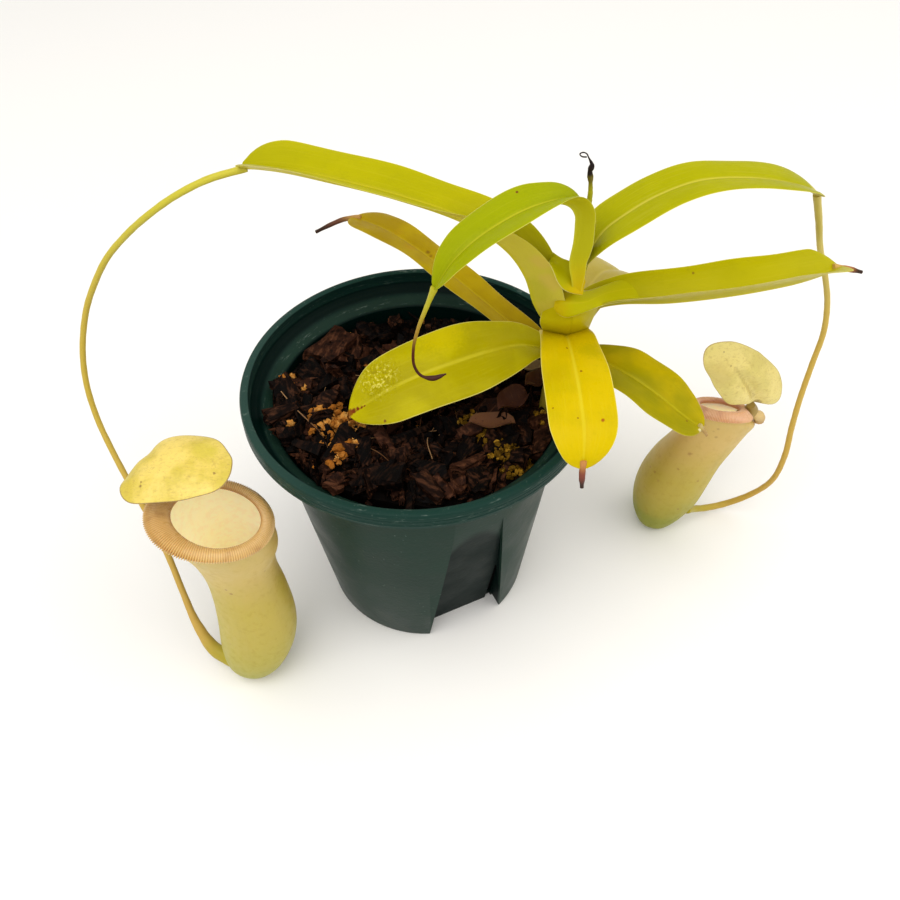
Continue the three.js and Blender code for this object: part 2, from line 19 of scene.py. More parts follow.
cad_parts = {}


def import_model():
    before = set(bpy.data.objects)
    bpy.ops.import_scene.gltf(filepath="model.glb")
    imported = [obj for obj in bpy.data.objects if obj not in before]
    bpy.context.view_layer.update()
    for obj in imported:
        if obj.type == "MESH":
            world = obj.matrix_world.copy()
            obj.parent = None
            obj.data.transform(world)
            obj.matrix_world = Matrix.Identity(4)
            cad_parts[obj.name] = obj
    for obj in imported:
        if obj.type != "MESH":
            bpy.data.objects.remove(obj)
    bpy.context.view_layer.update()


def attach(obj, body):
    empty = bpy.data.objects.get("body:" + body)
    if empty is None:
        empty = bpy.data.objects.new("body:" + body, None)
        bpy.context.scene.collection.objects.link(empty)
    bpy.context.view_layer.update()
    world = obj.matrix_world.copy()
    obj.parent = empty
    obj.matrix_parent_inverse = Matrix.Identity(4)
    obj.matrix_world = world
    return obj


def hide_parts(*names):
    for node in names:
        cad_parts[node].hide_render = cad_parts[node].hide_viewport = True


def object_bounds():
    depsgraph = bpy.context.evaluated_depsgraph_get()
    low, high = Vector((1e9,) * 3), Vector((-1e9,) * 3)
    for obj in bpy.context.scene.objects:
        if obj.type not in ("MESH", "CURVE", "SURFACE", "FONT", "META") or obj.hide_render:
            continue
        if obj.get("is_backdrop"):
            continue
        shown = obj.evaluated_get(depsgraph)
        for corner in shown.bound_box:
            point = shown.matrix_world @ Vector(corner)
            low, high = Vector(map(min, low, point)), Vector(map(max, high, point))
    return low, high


LOG = logging.getLogger("pitcher_plant")
MM = 0.001
FULL_TURN = 2 * math.pi
MERGE_REACH = 0.001 * MM
# The share of a cup's grid that lies on its outer face.
OUTER_SHARE = 0.6

Colour = tuple[float, float, float]
Point = tuple[float, float, float]
Pixel = tuple[float, float]
Stations = Sequence[float]
Shape = Callable[[np.ndarray, np.ndarray], np.ndarray]
Socket = bpy.types.NodeSocket
Piece = bpy.types.Object


class Slot(Enum):
    """The record's material slots."""

    POT = "pot_plastic"
    SOIL = "soil_mix"
    STEM = "stem_skin"
    LEAF = "leaf_yellow_green"
    YOUNG_LEAF = "leaf_young_green"
    OLD_LEAF = "leaf_old_amber"
    BRIGHT_LEAF = "leaf_bright_yellow"
    PALE_LEAF = "leaf_pale"
    TENDRIL = "tendril_skin"
    YOUNG_TIP = "young_tip"
    CUP = "pitcher_skin"
    LIP = "pitcher_lip"
    LID = "pitcher_lid"


# Curves and outlines


def unit(rows: np.ndarray) -> np.ndarray:
    """Scales each row to length one."""
    return rows / np.linalg.norm(rows, axis=-1, keepdims=True)


def blend(low: float, high: float, value: np.ndarray) -> np.ndarray:
    """Runs smoothly from 0 at `low` to 1 at `high`."""
    share = np.clip((value - low) / (high - low), 0, 1)
    return share * share * (3 - 2 * share)


def cubic(
    part: np.ndarray, start: np.ndarray, end: np.ndarray, leave: np.ndarray, arrive: np.ndarray
) -> np.ndarray:
    """Runs from one value to another with a given slope at each end.

    Args:
        part: The share of the way, from 0 to 1.
        start: The value at 0.
        end: The value at 1.
        leave: The slope at 0.
        arrive: The slope at 1.

    Returns:
        One value for each part.
    """
    return (
        (2 * part**3 - 3 * part**2 + 1) * start
        + (part**3 - 2 * part**2 + part) * leave
        + (3 * part**2 - 2 * part**3) * end
        + (part**3 - part**2) * arrive
    )


def through(stations: Stations, share: np.ndarray) -> np.ndarray:
    """Gives the value of a smooth line through evenly spaced stations.

    Args:
        stations: The values at even steps from 0 to 1.
        share: Where to read the line, from 0 to 1.

    Returns:
        One value for each share.
    """
    values = np.asarray(stations, float)
    last = len(values) - 1
    place = np.clip(share, 0, 1) * last
    index = np.minimum(place.astype(int), last - 1)
    before = values[np.maximum(index - 1, 0)]
    start = values[index]
    end = values[index + 1]
    after = values[np.minimum(index + 2, last)]
    return cubic(place - index, start, end, (end - before) / 2, (after - start) / 2)


def open_rows(along_share: np.ndarray, rows: int) -> tuple[np.ndarray, np.ndarray]:
    """Reads a wrapped grid whose first and last rows are drawn in to points.

    Args:
        along_share: The shares along the grid.
        rows: How many faces run along it.

    Returns:
        The shares along the rows between those two, and which rows those are.
    """
    row = np.rint(along_share * rows)
    return np.clip((row - 1) / (rows - 2), 0, 1), (row > 0) & (row < rows)


class Path:
    """A smooth curve through points, with its length measured."""

    SAMPLES = 600

    def __init__(self, points: Sequence[Point]) -> None:
        """Measures the curve.

        Args:
            points: The points that the curve runs through, in order.
        """
        self.points = np.asarray(points, float)
        self.shares = np.linspace(0, 1, self.SAMPLES)
        self.track = self.by_station(self.shares)
        steps = np.linalg.norm(np.diff(self.track, axis=0), axis=1)
        self.run = np.concatenate([[0], np.cumsum(steps)])
        self.length = self.run[-1]

    def by_station(self, share: np.ndarray) -> np.ndarray:
        """Gives points where the curve's given points are evenly spaced in share.

        Args:
            share: Where to read the curve, from 0 to 1.

        Returns:
            One point a row.
        """
        points = self.points
        padded = np.vstack([2 * points[0] - points[1], points, 2 * points[-1] - points[-2]])
        gaps = np.sqrt(np.linalg.norm(np.diff(padded, axis=0), axis=1))
        place = np.clip(share, 0, 1) * (len(points) - 1)
        index = np.minimum(place.astype(int), len(points) - 2)
        part = (place - index)[:, None]
        before, start, end, after = (padded[index + step] for step in range(4))
        gap_0, gap_1, gap_2 = (gaps[index + step][:, None] for step in range(3))
        leave = (start - before) / gap_0 - (end - before) / (gap_0 + gap_1) + (end - start) / gap_1
        arrive = (end - start) / gap_1 - (after - start) / (gap_1 + gap_2) + (after - end) / gap_2
        return cubic(part, start, end, leave * gap_1, arrive * gap_1)

    def at(self, share: np.ndarray) -> np.ndarray:
        """Gives points at shares of the curve's length."""
        place = np.clip(share, 0, 1) * self.length
        return self.by_station(np.interp(place, self.run, self.shares))

    def way(self, share: np.ndarray) -> np.ndarray:
        """Gives the directions in which the curve runs at shares of its length."""
        step = 2e-3
        return unit(self.at(np.minimum(share + step, 1)) - self.at(np.maximum(share - step, 0)))

    def frames(self, rows: int) -> tuple[np.ndarray, np.ndarray, np.ndarray]:
        """Gives centres and two cross directions that turn no more than the curve does.

        Args:
            rows: How many even steps the curve is read in.

        Returns:
            The centres, the first cross directions and the second.
        """
        shares = np.linspace(0, 1, rows + 1)
        centres, ways = self.at(shares), self.way(shares)
        start = np.array([0.0, 0.0, 1.0]) if abs(ways[0][2]) < 0.9 else np.array([1.0, 0.0, 0.0])
        across = np.empty_like(ways)
        current = start
        for row, way in enumerate(ways):
            current = current - way * (current @ way)
            current = current / np.linalg.norm(current)
            across[row] = current
        return centres, across, np.cross(ways, across)


# Mesh making


def deselect() -> None:
    """Leaves nothing selected and no mesh open for editing."""
    if bpy.context.object and bpy.context.object.mode != "OBJECT":
        bpy.ops.object.mode_set(mode="OBJECT")
    bpy.ops.object.select_all(action="DESELECT")


def pick(piece: Piece) -> None:
    """Makes one piece the only selected and active one."""
    deselect()
    piece.select_set(True)
    bpy.context.view_layer.objects.active = piece


def coordinates(piece: Piece) -> np.ndarray:
    """Gives a piece's vertices, one a row, in the units of its mesh."""
    found = np.empty(len(piece.data.vertices) * 3, np.float32)
    piece.data.vertices.foreach_get("co", found)
    return found.reshape(-1, 3).astype(float)


def place_vertices(piece: Piece, points: np.ndarray) -> None:
    """Moves a piece's vertices to the given points."""
    piece.data.vertices.foreach_set("co", points.astype(np.float32).ravel())
    piece.data.update()


def named(piece: Piece, name: str) -> Piece:
    """Gives a piece and its mesh one name."""
    piece.name = piece.data.name = name
    return piece


@contextmanager
def editing(piece: Piece) -> Iterator[None]:
    """Opens all of a piece's mesh for editing and closes it afterwards."""
    pick(piece)
    bpy.ops.object.mode_set(mode="EDIT")
    bpy.ops.mesh.select_all(action="SELECT")
    yield
    bpy.ops.object.mode_set(mode="OBJECT")


def merge(piece: Piece) -> None:
    """Closes seams and poles and turns all faces outwards."""
    with editing(piece):
        bpy.ops.mesh.remove_doubles(threshold=MERGE_REACH)
        bpy.ops.mesh.normals_make_consistent(inside=False)


def wrap(name: str, columns: int, rows: int, shape: Shape) -> Piece:
    """Adds a grid, lays it on a closed surface and merges its seam and poles.

    Args:
        name: The piece's name.
        columns: How many faces run round the surface.
        rows: How many faces run along it.
        shape: Gives points in millimetres for shares round and along the surface.

    Returns:
        The closed piece. Its UV map holds the shares round and along.
    """
    deselect()
    bpy.ops.mesh.primitive_grid_add(x_subdivisions=columns, y_subdivisions=rows, size=1, calc_uvs=True)
    piece = named(bpy.context.object, name)
    flat = coordinates(piece) + 0.5
    place_vertices(piece, shape(flat[:, 0], flat[:, 1]) * MM)
    merge(piece)
    return piece


def turned(name: str, profile: Sequence[tuple[float, float]], sides: int) -> Piece:
    """Draws a closed round body upwards from a circle, ring by ring.

    Args:
        name: The body's name.
        profile: The radius and height of each ring, in millimetres.
        sides: How many faces run round it.

    Returns:
        The body, with its first and last rings closed by a face.
    """
    deselect()
    radius, height = profile[0]
    bpy.ops.mesh.primitive_circle_add(
        vertices=sides, radius=radius * MM, fill_type="NGON", location=(0, 0, height * MM)
    )
    body = named(bpy.context.object, name)
    bpy.ops.object.transform_apply(location=True)
    with editing(body):
        for next_radius, next_height in profile[1:]:
            bpy.ops.mesh.extrude_region_move()
            scale = next_radius / radius
            bpy.ops.transform.resize(value=(scale, scale, 1), center_override=(0, 0, height * MM))
            bpy.ops.transform.translate(value=(0, 0, (next_height - height) * MM))
            radius, height = next_radius, next_height
    merge(body)
    return body


def block(name: str, bottom: Sequence[Point], top: Sequence[Point]) -> Piece:
    """Adds a block with four given corners below and four above, in millimetres."""
    deselect()
    bpy.ops.mesh.primitive_cube_add(size=2)
    body = named(bpy.context.object, name)
    order = {(-1, -1): 0, (1, -1): 1, (1, 1): 2, (-1, 1): 3}
    corners = coordinates(body)
    for index, (x, y, z) in enumerate(corners.copy()):
        ring = top if z > 0 else bottom
        corners[index] = ring[order[(round(x), round(y))]]
    place_vertices(body, corners * MM)
    merge(body)
    return body


def cut(piece: Piece, tools: Sequence[Piece]) -> None:
    """Cuts bodies out of a piece and removes them.

    Args:
        piece: The piece that is cut.
        tools: The bodies that cut it.
    """
    for tool in tools:
        pick(piece)
        modifier = piece.modifiers.new("cut", "BOOLEAN")
        modifier.operation = "DIFFERENCE"
        modifier.solver = "EXACT"
        modifier.object = tool
        bpy.ops.object.modifier_apply(modifier=modifier.name)
        bpy.data.objects.remove(tool, do_unlink=True)


def joined(name: str, pieces: Sequence[Piece]) -> Piece:
    """Joins pieces into the first of them, and names it."""
    pick(pieces[0])
    for piece in pieces:
        piece.select_set(True)
    bpy.ops.object.join()
    return named(bpy.context.object, name)


def copies(name: str, models: Sequence[Piece], places: Sequence[tuple[int, Matrix]]) -> Piece:
    """Joins copies of small models into one piece.

    Args:
        name: The new piece's name.
        models: The models to copy.
        places: For each copy, the model's index and its place.

    Returns:
        The joined piece. A vertex attribute named "shade" holds one random value for each copy.
    """
    shades = random.Random(len(places))
    loose = []
    for index, place in places:
        copy = models[index].copy()
        copy.data = models[index].data.copy()
        copy.data.transform(place)
        tone = copy.data.attributes.new("shade", "FLOAT", "POINT")
        tone.data.foreach_set("value", [shades.random()] * len(copy.data.vertices))
        bpy.context.collection.objects.link(copy)
        loose.append(copy)
    return joined(name, loose)


def discard(models: Sequence[Piece]) -> None:
    """Removes models that have been copied."""
    for model in models:
        bpy.data.objects.remove(model, do_unlink=True)


def keep(
    piece: Piece, slot: Slot, finish: bpy.types.Material, *nodes: str, crease: float = 60.0
) -> None:
    """Smooths and dresses a finished piece and ties it to the frame.

    Args:
        piece: The finished piece.
        slot: Not used.
        finish: Its material.
        nodes: The solids of the frame that it stands for.
        crease: The angle between faces, in degrees, from which their edge stays sharp.
    """
    pick(piece)
    bpy.ops.object.shade_smooth_by_angle(angle=math.radians(crease))
    piece.data.materials.clear()
    piece.data.materials.append(finish)
    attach(piece, "root")
    if nodes:
        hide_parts(*nodes)
    LOG.info("%s: %d faces", piece.name, len(piece.data.polygons))


# Camera, floor and light


@dataclass(frozen=True)
class Studio:
    """The camera that the photograph was taken with, a white table and soft light."""

    lens: float = 38.0
    sensor: float = 36.0
    frame: int = 900
    position: Point = (0.0, -204.63, 286.0)
    right: Point = (0.99762, -0.06632, -0.01864)
    down: Point = (-0.06189, -0.74386, -0.66547)
    forward: Point = (0.03027, 0.66504, -0.74619)

    def ray(self, pixel: Pixel) -> tuple[Vector, Vector]:
        """Gives the sight line through a pixel.

        Args:
            pixel: The place in the 900 by 900 frame.

        Returns:
            The camera's place in metres and the direction.
        """
        focal = self.lens / self.sensor * self.frame
        across = (pixel[0] - self.frame / 2) / focal
        below = (pixel[1] - self.frame / 2) / focal
        way = Vector(self.forward) + Vector(self.right) * across + Vector(self.down) * below
        return Vector(self.position) * MM, way.normalized()

    def on(self, piece: Piece, pixel: Pixel) -> Optional[Vector]:
        """Finds the point of a piece that shows at a pixel, in metres, or None where it misses."""
        start, way = self.ray(pixel)
        hit, point, _, _ = piece.ray_cast(start, way)
        return point if hit else None

    def deep(self, pixel: Pixel, depth: float) -> np.ndarray:
        """Gives the point that shows at a pixel and lies at a depth, in millimetres.

        Args:
            pixel: The place in the 900 by 900 frame.
            depth: How far behind the pot's axis the point is.

        Returns:
            The point.
        """
        start, way = self.ray(pixel)
        return np.array((start + way * ((depth * MM - start.y) / way.y)) / MM)

    def level(self, pixel: Pixel, height: float) -> np.ndarray:
        """Gives the point that shows at a pixel and lies at a height, in millimetres."""
        start, way = self.ray(pixel)
        return np.array((start + way * ((height * MM - start.z) / way.z)) / MM)

    def build(self) -> None:
        """Makes the camera, the floor and the lights."""
        lens = bpy.data.cameras.new("photo_camera")
        lens.lens = self.lens
        lens.sensor_width = self.sensor
        lens.clip_start = 0.01
        lens.clip_end = 10
        camera = bpy.data.objects.new("photo_camera", lens)
        turn = Matrix((Vector(self.right), -Vector(self.down), -Vector(self.forward))).transposed()
        camera.matrix_world = Matrix.Translation(Vector(self.position) * MM) @ turn.to_4x4()
        bpy.context.scene.collection.objects.link(camera)
        bpy.context.scene.camera = camera
        self.floor()
        self.lamp("key_light", (-0.3, -0.4, 1.0), 0.9, 6.8, (1.0, 0.985, 0.96))
        self.lamp("fill_light", (0.7, -0.1, 0.8), 0.9, 3.6, (1.0, 0.97, 0.93))
        world = bpy.data.worlds.new("white_room")
        world.use_nodes = True
        sky = world.node_tree.nodes["Background"]
        sky.inputs["Color"].default_value = (1.0, 0.985, 0.955, 1)
        sky.inputs["Strength"].default_value = 0.72
        bpy.context.scene.world = world
        bpy.context.scene.view_settings.view_transform = "Standard"

    def floor(self) -> None:
        """Adds the white table."""
        deselect()
        bpy.ops.mesh.primitive_plane_add(size=6, location=(0, 0, 0))
        table = bpy.context.object
        table.name = "table"
        white = Graph("white_table")
        white.set("Base Color", (0.93, 0.92, 0.9))
        white.set("Roughness", 0.5)
        table.data.materials.append(white.material)
        table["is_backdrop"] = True

    def lamp(self, name: str, place: Point, size: float, power: float, colour: Colour) -> None:
        """Adds a square soft light that faces the pot.

        Args:
            name: The light's name.
            place: Its place in metres.
            size: The length of its side in metres.
            power: Its power in watts.
            colour: The colour of its light.
        """
        light = bpy.data.lights.new(name, "AREA")
        light.size = size
        light.energy = power
        light.color = colour
        lamp = bpy.data.objects.new(name, light)
        lamp.location = place
        lamp.rotation_mode = "QUATERNION"
        lamp.rotation_quaternion = (Vector((0, 0, 0.06)) - Vector(place)).to_track_quat("-Z", "Y")
        bpy.context.scene.collection.objects.link(lamp)


# Materials


class Signal:
    """An output of a node. Arithmetic on it adds Math nodes."""

    def __init__(self, graph: "Graph", socket: Socket) -> None:
        """Wraps an output.

        Args:
            graph: The graph that the node is in.
            socket: The node's output.
        """
        self.graph = graph
        self.socket = socket

    def __add__(self, other: object) -> "Signal":
        """Adds a number or a signal."""
        return self.graph.math("ADD", self, other)

    def __sub__(self, other: object) -> "Signal":
        """Takes a number or a signal away."""
        return self.graph.math("SUBTRACT", self, other)

    def __rsub__(self, other: float) -> "Signal":
        """Takes the signal away from a number."""
        return self.graph.math("SUBTRACT", other, self)

    def __mul__(self, other: object) -> "Signal":
        """Multiplies by a number or a signal."""
        return self.graph.math("MULTIPLY", self, other)

    def __abs__(self) -> "Signal":
        """Drops the sign."""
        return self.graph.math("ABSOLUTE", self)


class Graph:
    """A material whose nodes are added one by one."""

    def __init__(self, name: str) -> None:
        """Starts a material with one shader.

        Args:
            name: The material's name.
        """
        self.material = bpy.data.materials.new(name)
        self.material.use_nodes = True
        self.tree = self.material.node_tree
        self.shader = self.tree.nodes["Principled BSDF"]

    def feed(self, target: Socket, source: object) -> None:
        """Links a signal to an input, or sets the input's number, vector or colour."""
        if isinstance(source, Signal):
            self.tree.links.new(source.socket, target)
        elif target.type == "RGBA":
            target.default_value = (*source, 1)
        else:
            target.default_value = source

    def node(
        self, kind: str, feeds: dict[int | str, object], output: int | str = 0, **settings: str
    ) -> Signal:
        """Adds a node.

        Args:
            kind: The node's type.
            feeds: What goes into its inputs.
            output: The output that is read.
            settings: Its options.

        Returns:
            The output.
        """
        made = self.tree.nodes.new(kind)
        for key, setting in settings.items():
            setattr(made, key, setting)
        for key, source in feeds.items():
            self.feed(made.inputs[key], source)
        return Signal(self, made.outputs[output])

    def set(self, name: str, source: object) -> None:
        """Sets or links one of the shader's inputs."""
        self.feed(self.shader.inputs[name], source)

    def math(self, operation: str, first: object, second: object = 0.0) -> Signal:
        """Adds a Math node.

        Args:
            operation: The node's operation.
            first: The first number or signal.
            second: The second number or signal.

        Returns:
            The result.
        """
        return self.node("ShaderNodeMath", {0: first, 1: second}, operation=operation)

    def mix(self, share: object, low: object, high: object, way: str = "MIX") -> Signal:
        """Mixes two colours.

        Args:
            share: How much of the second colour.
            low: The first colour.
            high: The second colour.
            way: How they mix.

        Returns:
            The mixed colour.
        """
        feeds = {0: share, 6: low, 7: high}
        return self.node("ShaderNodeMix", feeds, 2, data_type="RGBA", blend_type=way)

    def ramp(self, source: Signal, low: float, high: float, bottom: float = 0.0, top: float = 1.0) -> Signal:
        """Runs smoothly from `bottom` where the source is `low` to `top` where it is `high`."""
        feeds = dict(enumerate((source, low, high, bottom, top)))
        return self.node("ShaderNodeMapRange", feeds, interpolation_type="SMOOTHSTEP")

    def place(self, scale: Point = (1.0, 1.0, 1.0)) -> Signal:
        """Gives the object coordinates in metres, stretched."""
        source = self.node("ShaderNodeTexCoord", {}, "Object")
        return self.node("ShaderNodeMapping", {"Vector": source, "Scale": scale})

    def turned(self, source: Signal, angle: Signal, stretch: Point = (1.0, 0.22, 1.0)) -> Signal:
        """Gives a vector turned level by an angle in radians, then stretched."""
        feeds = {"Vector": source, "Angle": angle}
        turn = self.node("ShaderNodeVectorRotate", feeds, rotation_type="Z_AXIS")
        return self.node("ShaderNodeVectorMath", {0: turn, 1: stretch}, operation="MULTIPLY")

    def split(self, source: Signal) -> list[Signal]:
        """Gives a vector's three numbers."""
        made = self.tree.nodes.new("ShaderNodeSeparateXYZ")
        self.feed(made.inputs[0], source)
        return [Signal(self, output) for output in made.outputs]

    def surface(self) -> list[Signal]:
        """Gives the shares round and along a wrapped piece."""
        return self.split(self.node("ShaderNodeUVMap", {}))[:2]

    def join(self, first: Signal, second: Signal) -> Signal:
        """Makes a vector from two numbers."""
        return self.node("ShaderNodeCombineXYZ", {0: first, 1: second})

    def noise(self, source: Signal, scale: float, detail: float = 3.0, rough: float = 0.55) -> Signal:
        """Adds cloudy noise from about 0.25 to 0.75."""
        feeds = {"Vector": source, "Scale": scale, "Detail": detail, "Roughness": rough}
        return self.node("ShaderNodeTexNoise", feeds)

    def cells(self, source: Signal, scale: float) -> Signal:
        """Adds the distance to scattered points."""
        return self.node("ShaderNodeTexVoronoi", {"Vector": source, "Scale": scale}, "Distance")

    def near(self, point: Vector, radius: float, fuzz: float) -> Signal:
        """Gives 1 round a point and 0 away from it, with a ragged edge.

        Args:
            point: The middle, in metres.
            radius: The reach in millimetres.
            fuzz: How ragged the edge is, from 0 to 1.

        Returns:
            The mask.
        """
        place = self.place()
        feeds = {0: place, 1: tuple(point)}
        distance = self.node("ShaderNodeVectorMath", feeds, "Value", operation="DISTANCE")
        reach = distance + self.noise(place, 1400.0) * (fuzz * radius * MM * 2)
        edge = radius * MM * (1 + fuzz)
        return self.ramp(reach, edge, edge * 0.55)

    def bump(self, height: Signal, depth: float, strength: float) -> None:
        """Raises the surface by a height map.

        Args:
            height: The height from 0 to 1.
            depth: The depth of its relief in millimetres.
            strength: How much of it shows.
        """
        feeds = {"Strength": strength, "Distance": depth * MM, "Height": height}
        self.set("Normal", self.node("ShaderNodeBump", feeds))

    def flesh(self, weight: float, reach: float, colour: Colour) -> None:
        """Lets light pass a little way through living tissue."""
        self.set("Subsurface Weight", weight)
        self.set("Subsurface Radius", colour)
        self.set("Subsurface Scale", reach * MM)


def scaled(colour: Colour, factor: float) -> Colour:
    """Darkens or lightens a colour."""
    red, green, blue = colour
    return (red * factor, green * factor, blue * factor)


@dataclass(frozen=True)
class Mark:
    """A speck or patch on a piece, found by the pixel where the photograph shows it."""

    pixel: Pixel
    radius: float
    colour: Colour
    fuzz: float = 0.35
    strength: float = 1.0


def mark_colour(graph: Graph, colour: Signal, piece: Piece, marks: Sequence[Mark], studio: Studio) -> Signal:
    """Lays a piece's marks over its colour.

    Args:
        graph: The piece's material.
        colour: The colour below.
        piece: The finished mesh.
        marks: The marks to lay.
        studio: The camera that finds them.

    Returns:
        The colour with its marks.
    """
    for mark in marks:
        point = studio.on(piece, mark.pixel)
        if point is None:
            LOG.warning("%s: no surface at %s", piece.name, mark.pixel)
            continue
        mask = graph.near(point, mark.radius, mark.fuzz) * mark.strength
        colour = graph.mix(mask, colour, mark.colour)
    return colour


@dataclass(frozen=True)
class PotPlastic:
    """Dark green moulded polypropylene, dusty and scuffed, with painted shade inside the pot and painted
    light on the left of the rim.
    """

    wall: Colour = (0.009, 0.026, 0.018)
    rim: Colour = (0.009, 0.034, 0.026)
    # Near-black green for the painted shade inside the pot.
    inside: Colour = (0.0002, 0.0065, 0.005)
    dust: Colour = (0.16, 0.21, 0.18)
    # Paler green for the painted light on the left of the rim.
    painted_lit_rim: Colour = (0.035, 0.07, 0.058)
    rim_bottom: float = 83.0

    def make(self, name: str) -> bpy.types.Material:
        """Builds the material under a name."""
        graph = Graph(name)
        place = graph.place()
        x, y, z = graph.split(place)
        radius = graph.math("SQRT", x * x + y * y)
        height = z * 1000.0
        cloud = graph.noise(place, 60.0, 4.0)
        body = graph.mix(graph.ramp(cloud, 0.35, 0.7), self.wall, scaled(self.wall, 1.25))
        on_rim = graph.ramp(height, self.rim_bottom, self.rim_bottom + 1.2)
        body = graph.mix(on_rim, body, self.rim)
        # Painted light: the rim turns a paler green on its left, the side the light falls on.
        body = graph.mix(on_rim * graph.ramp(x, -0.02, -0.05, 0.0, 0.5), body, self.painted_lit_rim)
        # Painted shade: inside the wall and on the rim's inner side the colour turns near-black.
        outer = height * 0.000132 + 0.0334
        within = graph.ramp(outer - radius, 0.0001, 0.0008)
        rim_within = graph.ramp(radius, 0.0502, 0.0496)
        hollow = graph.mix(on_rim, within, rim_within)
        body = graph.mix(hollow, body, self.inside)
        streaks = graph.noise(graph.place((1.0, 1.0, 9.0)), 210.0, 6.0, 0.7)
        scuffs = graph.ramp(streaks, 0.56, 0.72, 0.0, 0.55) * graph.ramp(height, 76.0, 86.0, 0.12, 1.0)
        specks = graph.ramp(graph.cells(place, 520.0), 0.16, 0.06, 0.0, 0.45)
        specks = specks * graph.ramp(graph.noise(place, 90.0), 0.5, 0.62)
        dust = graph.math("MAXIMUM", scuffs, specks) * (1.0 - hollow)
        graph.set("Base Color", graph.mix(dust, body, self.dust))
        graph.set("Roughness", graph.ramp(cloud, 0.3, 0.7, 0.28, 0.42) + hollow * 0.12)
        graph.set("Specular IOR Level", 0.06)
        rings = graph.math("SINE", z * 7000.0) * (on_rim * 0.12)
        graph.bump(rings + graph.noise(place, 900.0, 2.0) * 0.35, 0.25, 0.5)
        return graph.material


@dataclass(frozen=True)
class BarkSkin:
    """Composted bark, dark and ragged, with redder faces where it broke."""

    dark: Colour
    middle: Colour
    light: Colour
    roughness: float = 0.78
    grain: float = 260.0

    def make(self, name: str) -> bpy.types.Material:
        """Builds the material under a name."""
        graph = Graph(name)
        place = graph.place()
        tone = graph.node("ShaderNodeAttribute", {}, "Fac", attribute_name="shade")
        cloud = graph.noise(place, self.grain, 5.0, 0.65)
        body = graph.mix(graph.ramp(tone, 0.45, 1.0), self.dark, self.middle)
        strands = graph.noise(graph.turned(place, tone * 40.0), self.grain * 3, 3.0, 0.6)
        lit = graph.ramp(strands, 0.46, 0.68) * graph.ramp(tone, 0.2, 0.9, 0.12, 0.8)
        body = graph.mix(lit, body, self.light)
        body = graph.mix(graph.ramp(cloud, 0.52, 0.34, 0.0, 0.8), body, scaled(self.dark, 0.25))
        graph.set("Base Color", body)
        graph.set("Roughness", graph.ramp(cloud, 0.35, 0.65, self.roughness - 0.25, self.roughness))
        graph.set("Specular IOR Level", 0.05)
        graph.bump(cloud + strands * 0.7, 0.6, 0.8)
        return graph.material


@dataclass(frozen=True)
class LeafSkin:
    """A leaf's blade: faint long veins, a pale midrib, a pale hard margin and a paler underside."""

    top: Colour
    deep: Colour
    under: Colour
    rib: Colour = (0.54, 0.47, 0.02)
    margin: Colour = (0.66, 0.58, 0.12)
    base: Optional[Colour] = None
    base_reach: float = 0.12
    tip: Optional[Colour] = None
    tip_reach: float = 0.06
    mottle: float = 0.5
    roughness: float = 0.36
    blister: Optional[Mark] = None
    # Bright yellow of the painted highlights on the blister's crinkles.
    blister_glint: Colour = (0.78, 0.7, 0.14)

    def make(
        self, name: str, piece: Piece, marks: Sequence[Mark], studio: Studio
    ) -> bpy.types.Material:
        """Builds the material.

        Args:
            name: The material's name.
            piece: The blade, whose UV map runs over its upper face and back under it.
            marks: Its specks and patches.
            studio: The camera that finds them.

        Returns:
            The material.
        """
        graph = Graph(name)
        around, along_share = graph.surface()
        across = 1.0 - abs(around * 4.0 - 2.0)
        off_rib = abs(across)
        below = graph.ramp(around, 0.497, 0.503)
        place = graph.place()
        cloud = graph.noise(place, 55.0, 3.0)
        fine = graph.noise(place, 480.0, 3.0, 0.6)
        veins = graph.noise(graph.join(across * 22.0, along_share * 5.0), 1.0, 2.0, 0.5)
        body = graph.mix(graph.ramp(cloud, 0.36, 0.64, 0.0, self.mottle), self.top, self.deep)
        body = graph.mix(graph.ramp(veins, 0.5, 0.7, 0.0, 0.14), body, self.rib)
        body = graph.mix(graph.ramp(fine, 0.54, 0.7, 0.0, 0.25), body, self.deep)
        body = graph.mix(below * 0.8, body, self.under)
        if self.base:
            reach = along_share + cloud * 0.1
            body = graph.mix(graph.ramp(reach, self.base_reach + 0.05, 0.03), body, self.base)
        if self.tip:
            reach = along_share + fine * (self.tip_reach * 0.6)
            body = graph.mix(graph.ramp(reach, 1 - self.tip_reach, 1.0), body, self.tip)
        rib = graph.ramp(off_rib, 0.06, 0.012, 0.0, 0.75) * graph.ramp(along_share, 0.97, 0.6, 0.5, 1.0)
        body = graph.mix(rib, body, self.rib)
        body = mark_colour(graph, body, piece, marks, studio)
        body = graph.mix(graph.ramp(off_rib, 0.945, 0.985, 0.0, 0.95), body, self.margin)
        gloss = graph.ramp(fine, 0.3, 0.7, self.roughness - 0.06, self.roughness + 0.08)
        relief = veins * 0.5 + fine * 0.5
        if self.blister:
            point = studio.on(piece, self.blister.pixel)
            radius = self.blister.radius
            bubbles = graph.noise(place, 1100.0, 2.0, 0.5)
            cell = graph.near(point, radius, 0.6) * 0.6
            body = graph.mix(cell * graph.ramp(bubbles, 0.48, 0.4), body, self.blister.colour)
            # Painted highlights: bright crests on the blister's crinkles.
            body = graph.mix(cell * graph.ramp(bubbles, 0.54, 0.63), body, self.blister_glint)
            mask = graph.near(point, radius, self.blister.fuzz)
            relief = relief + bubbles * mask * 6.0
            gloss = gloss - mask * 0.2
        graph.set("Base Color", body)
        graph.set("Roughness", gloss)
        graph.set("Specular IOR Level", 0.05)
        graph.bump(relief, 0.16, 0.6)
        graph.flesh(0.15, 1.2, (1.0, 0.85, 0.05))
        return graph.material


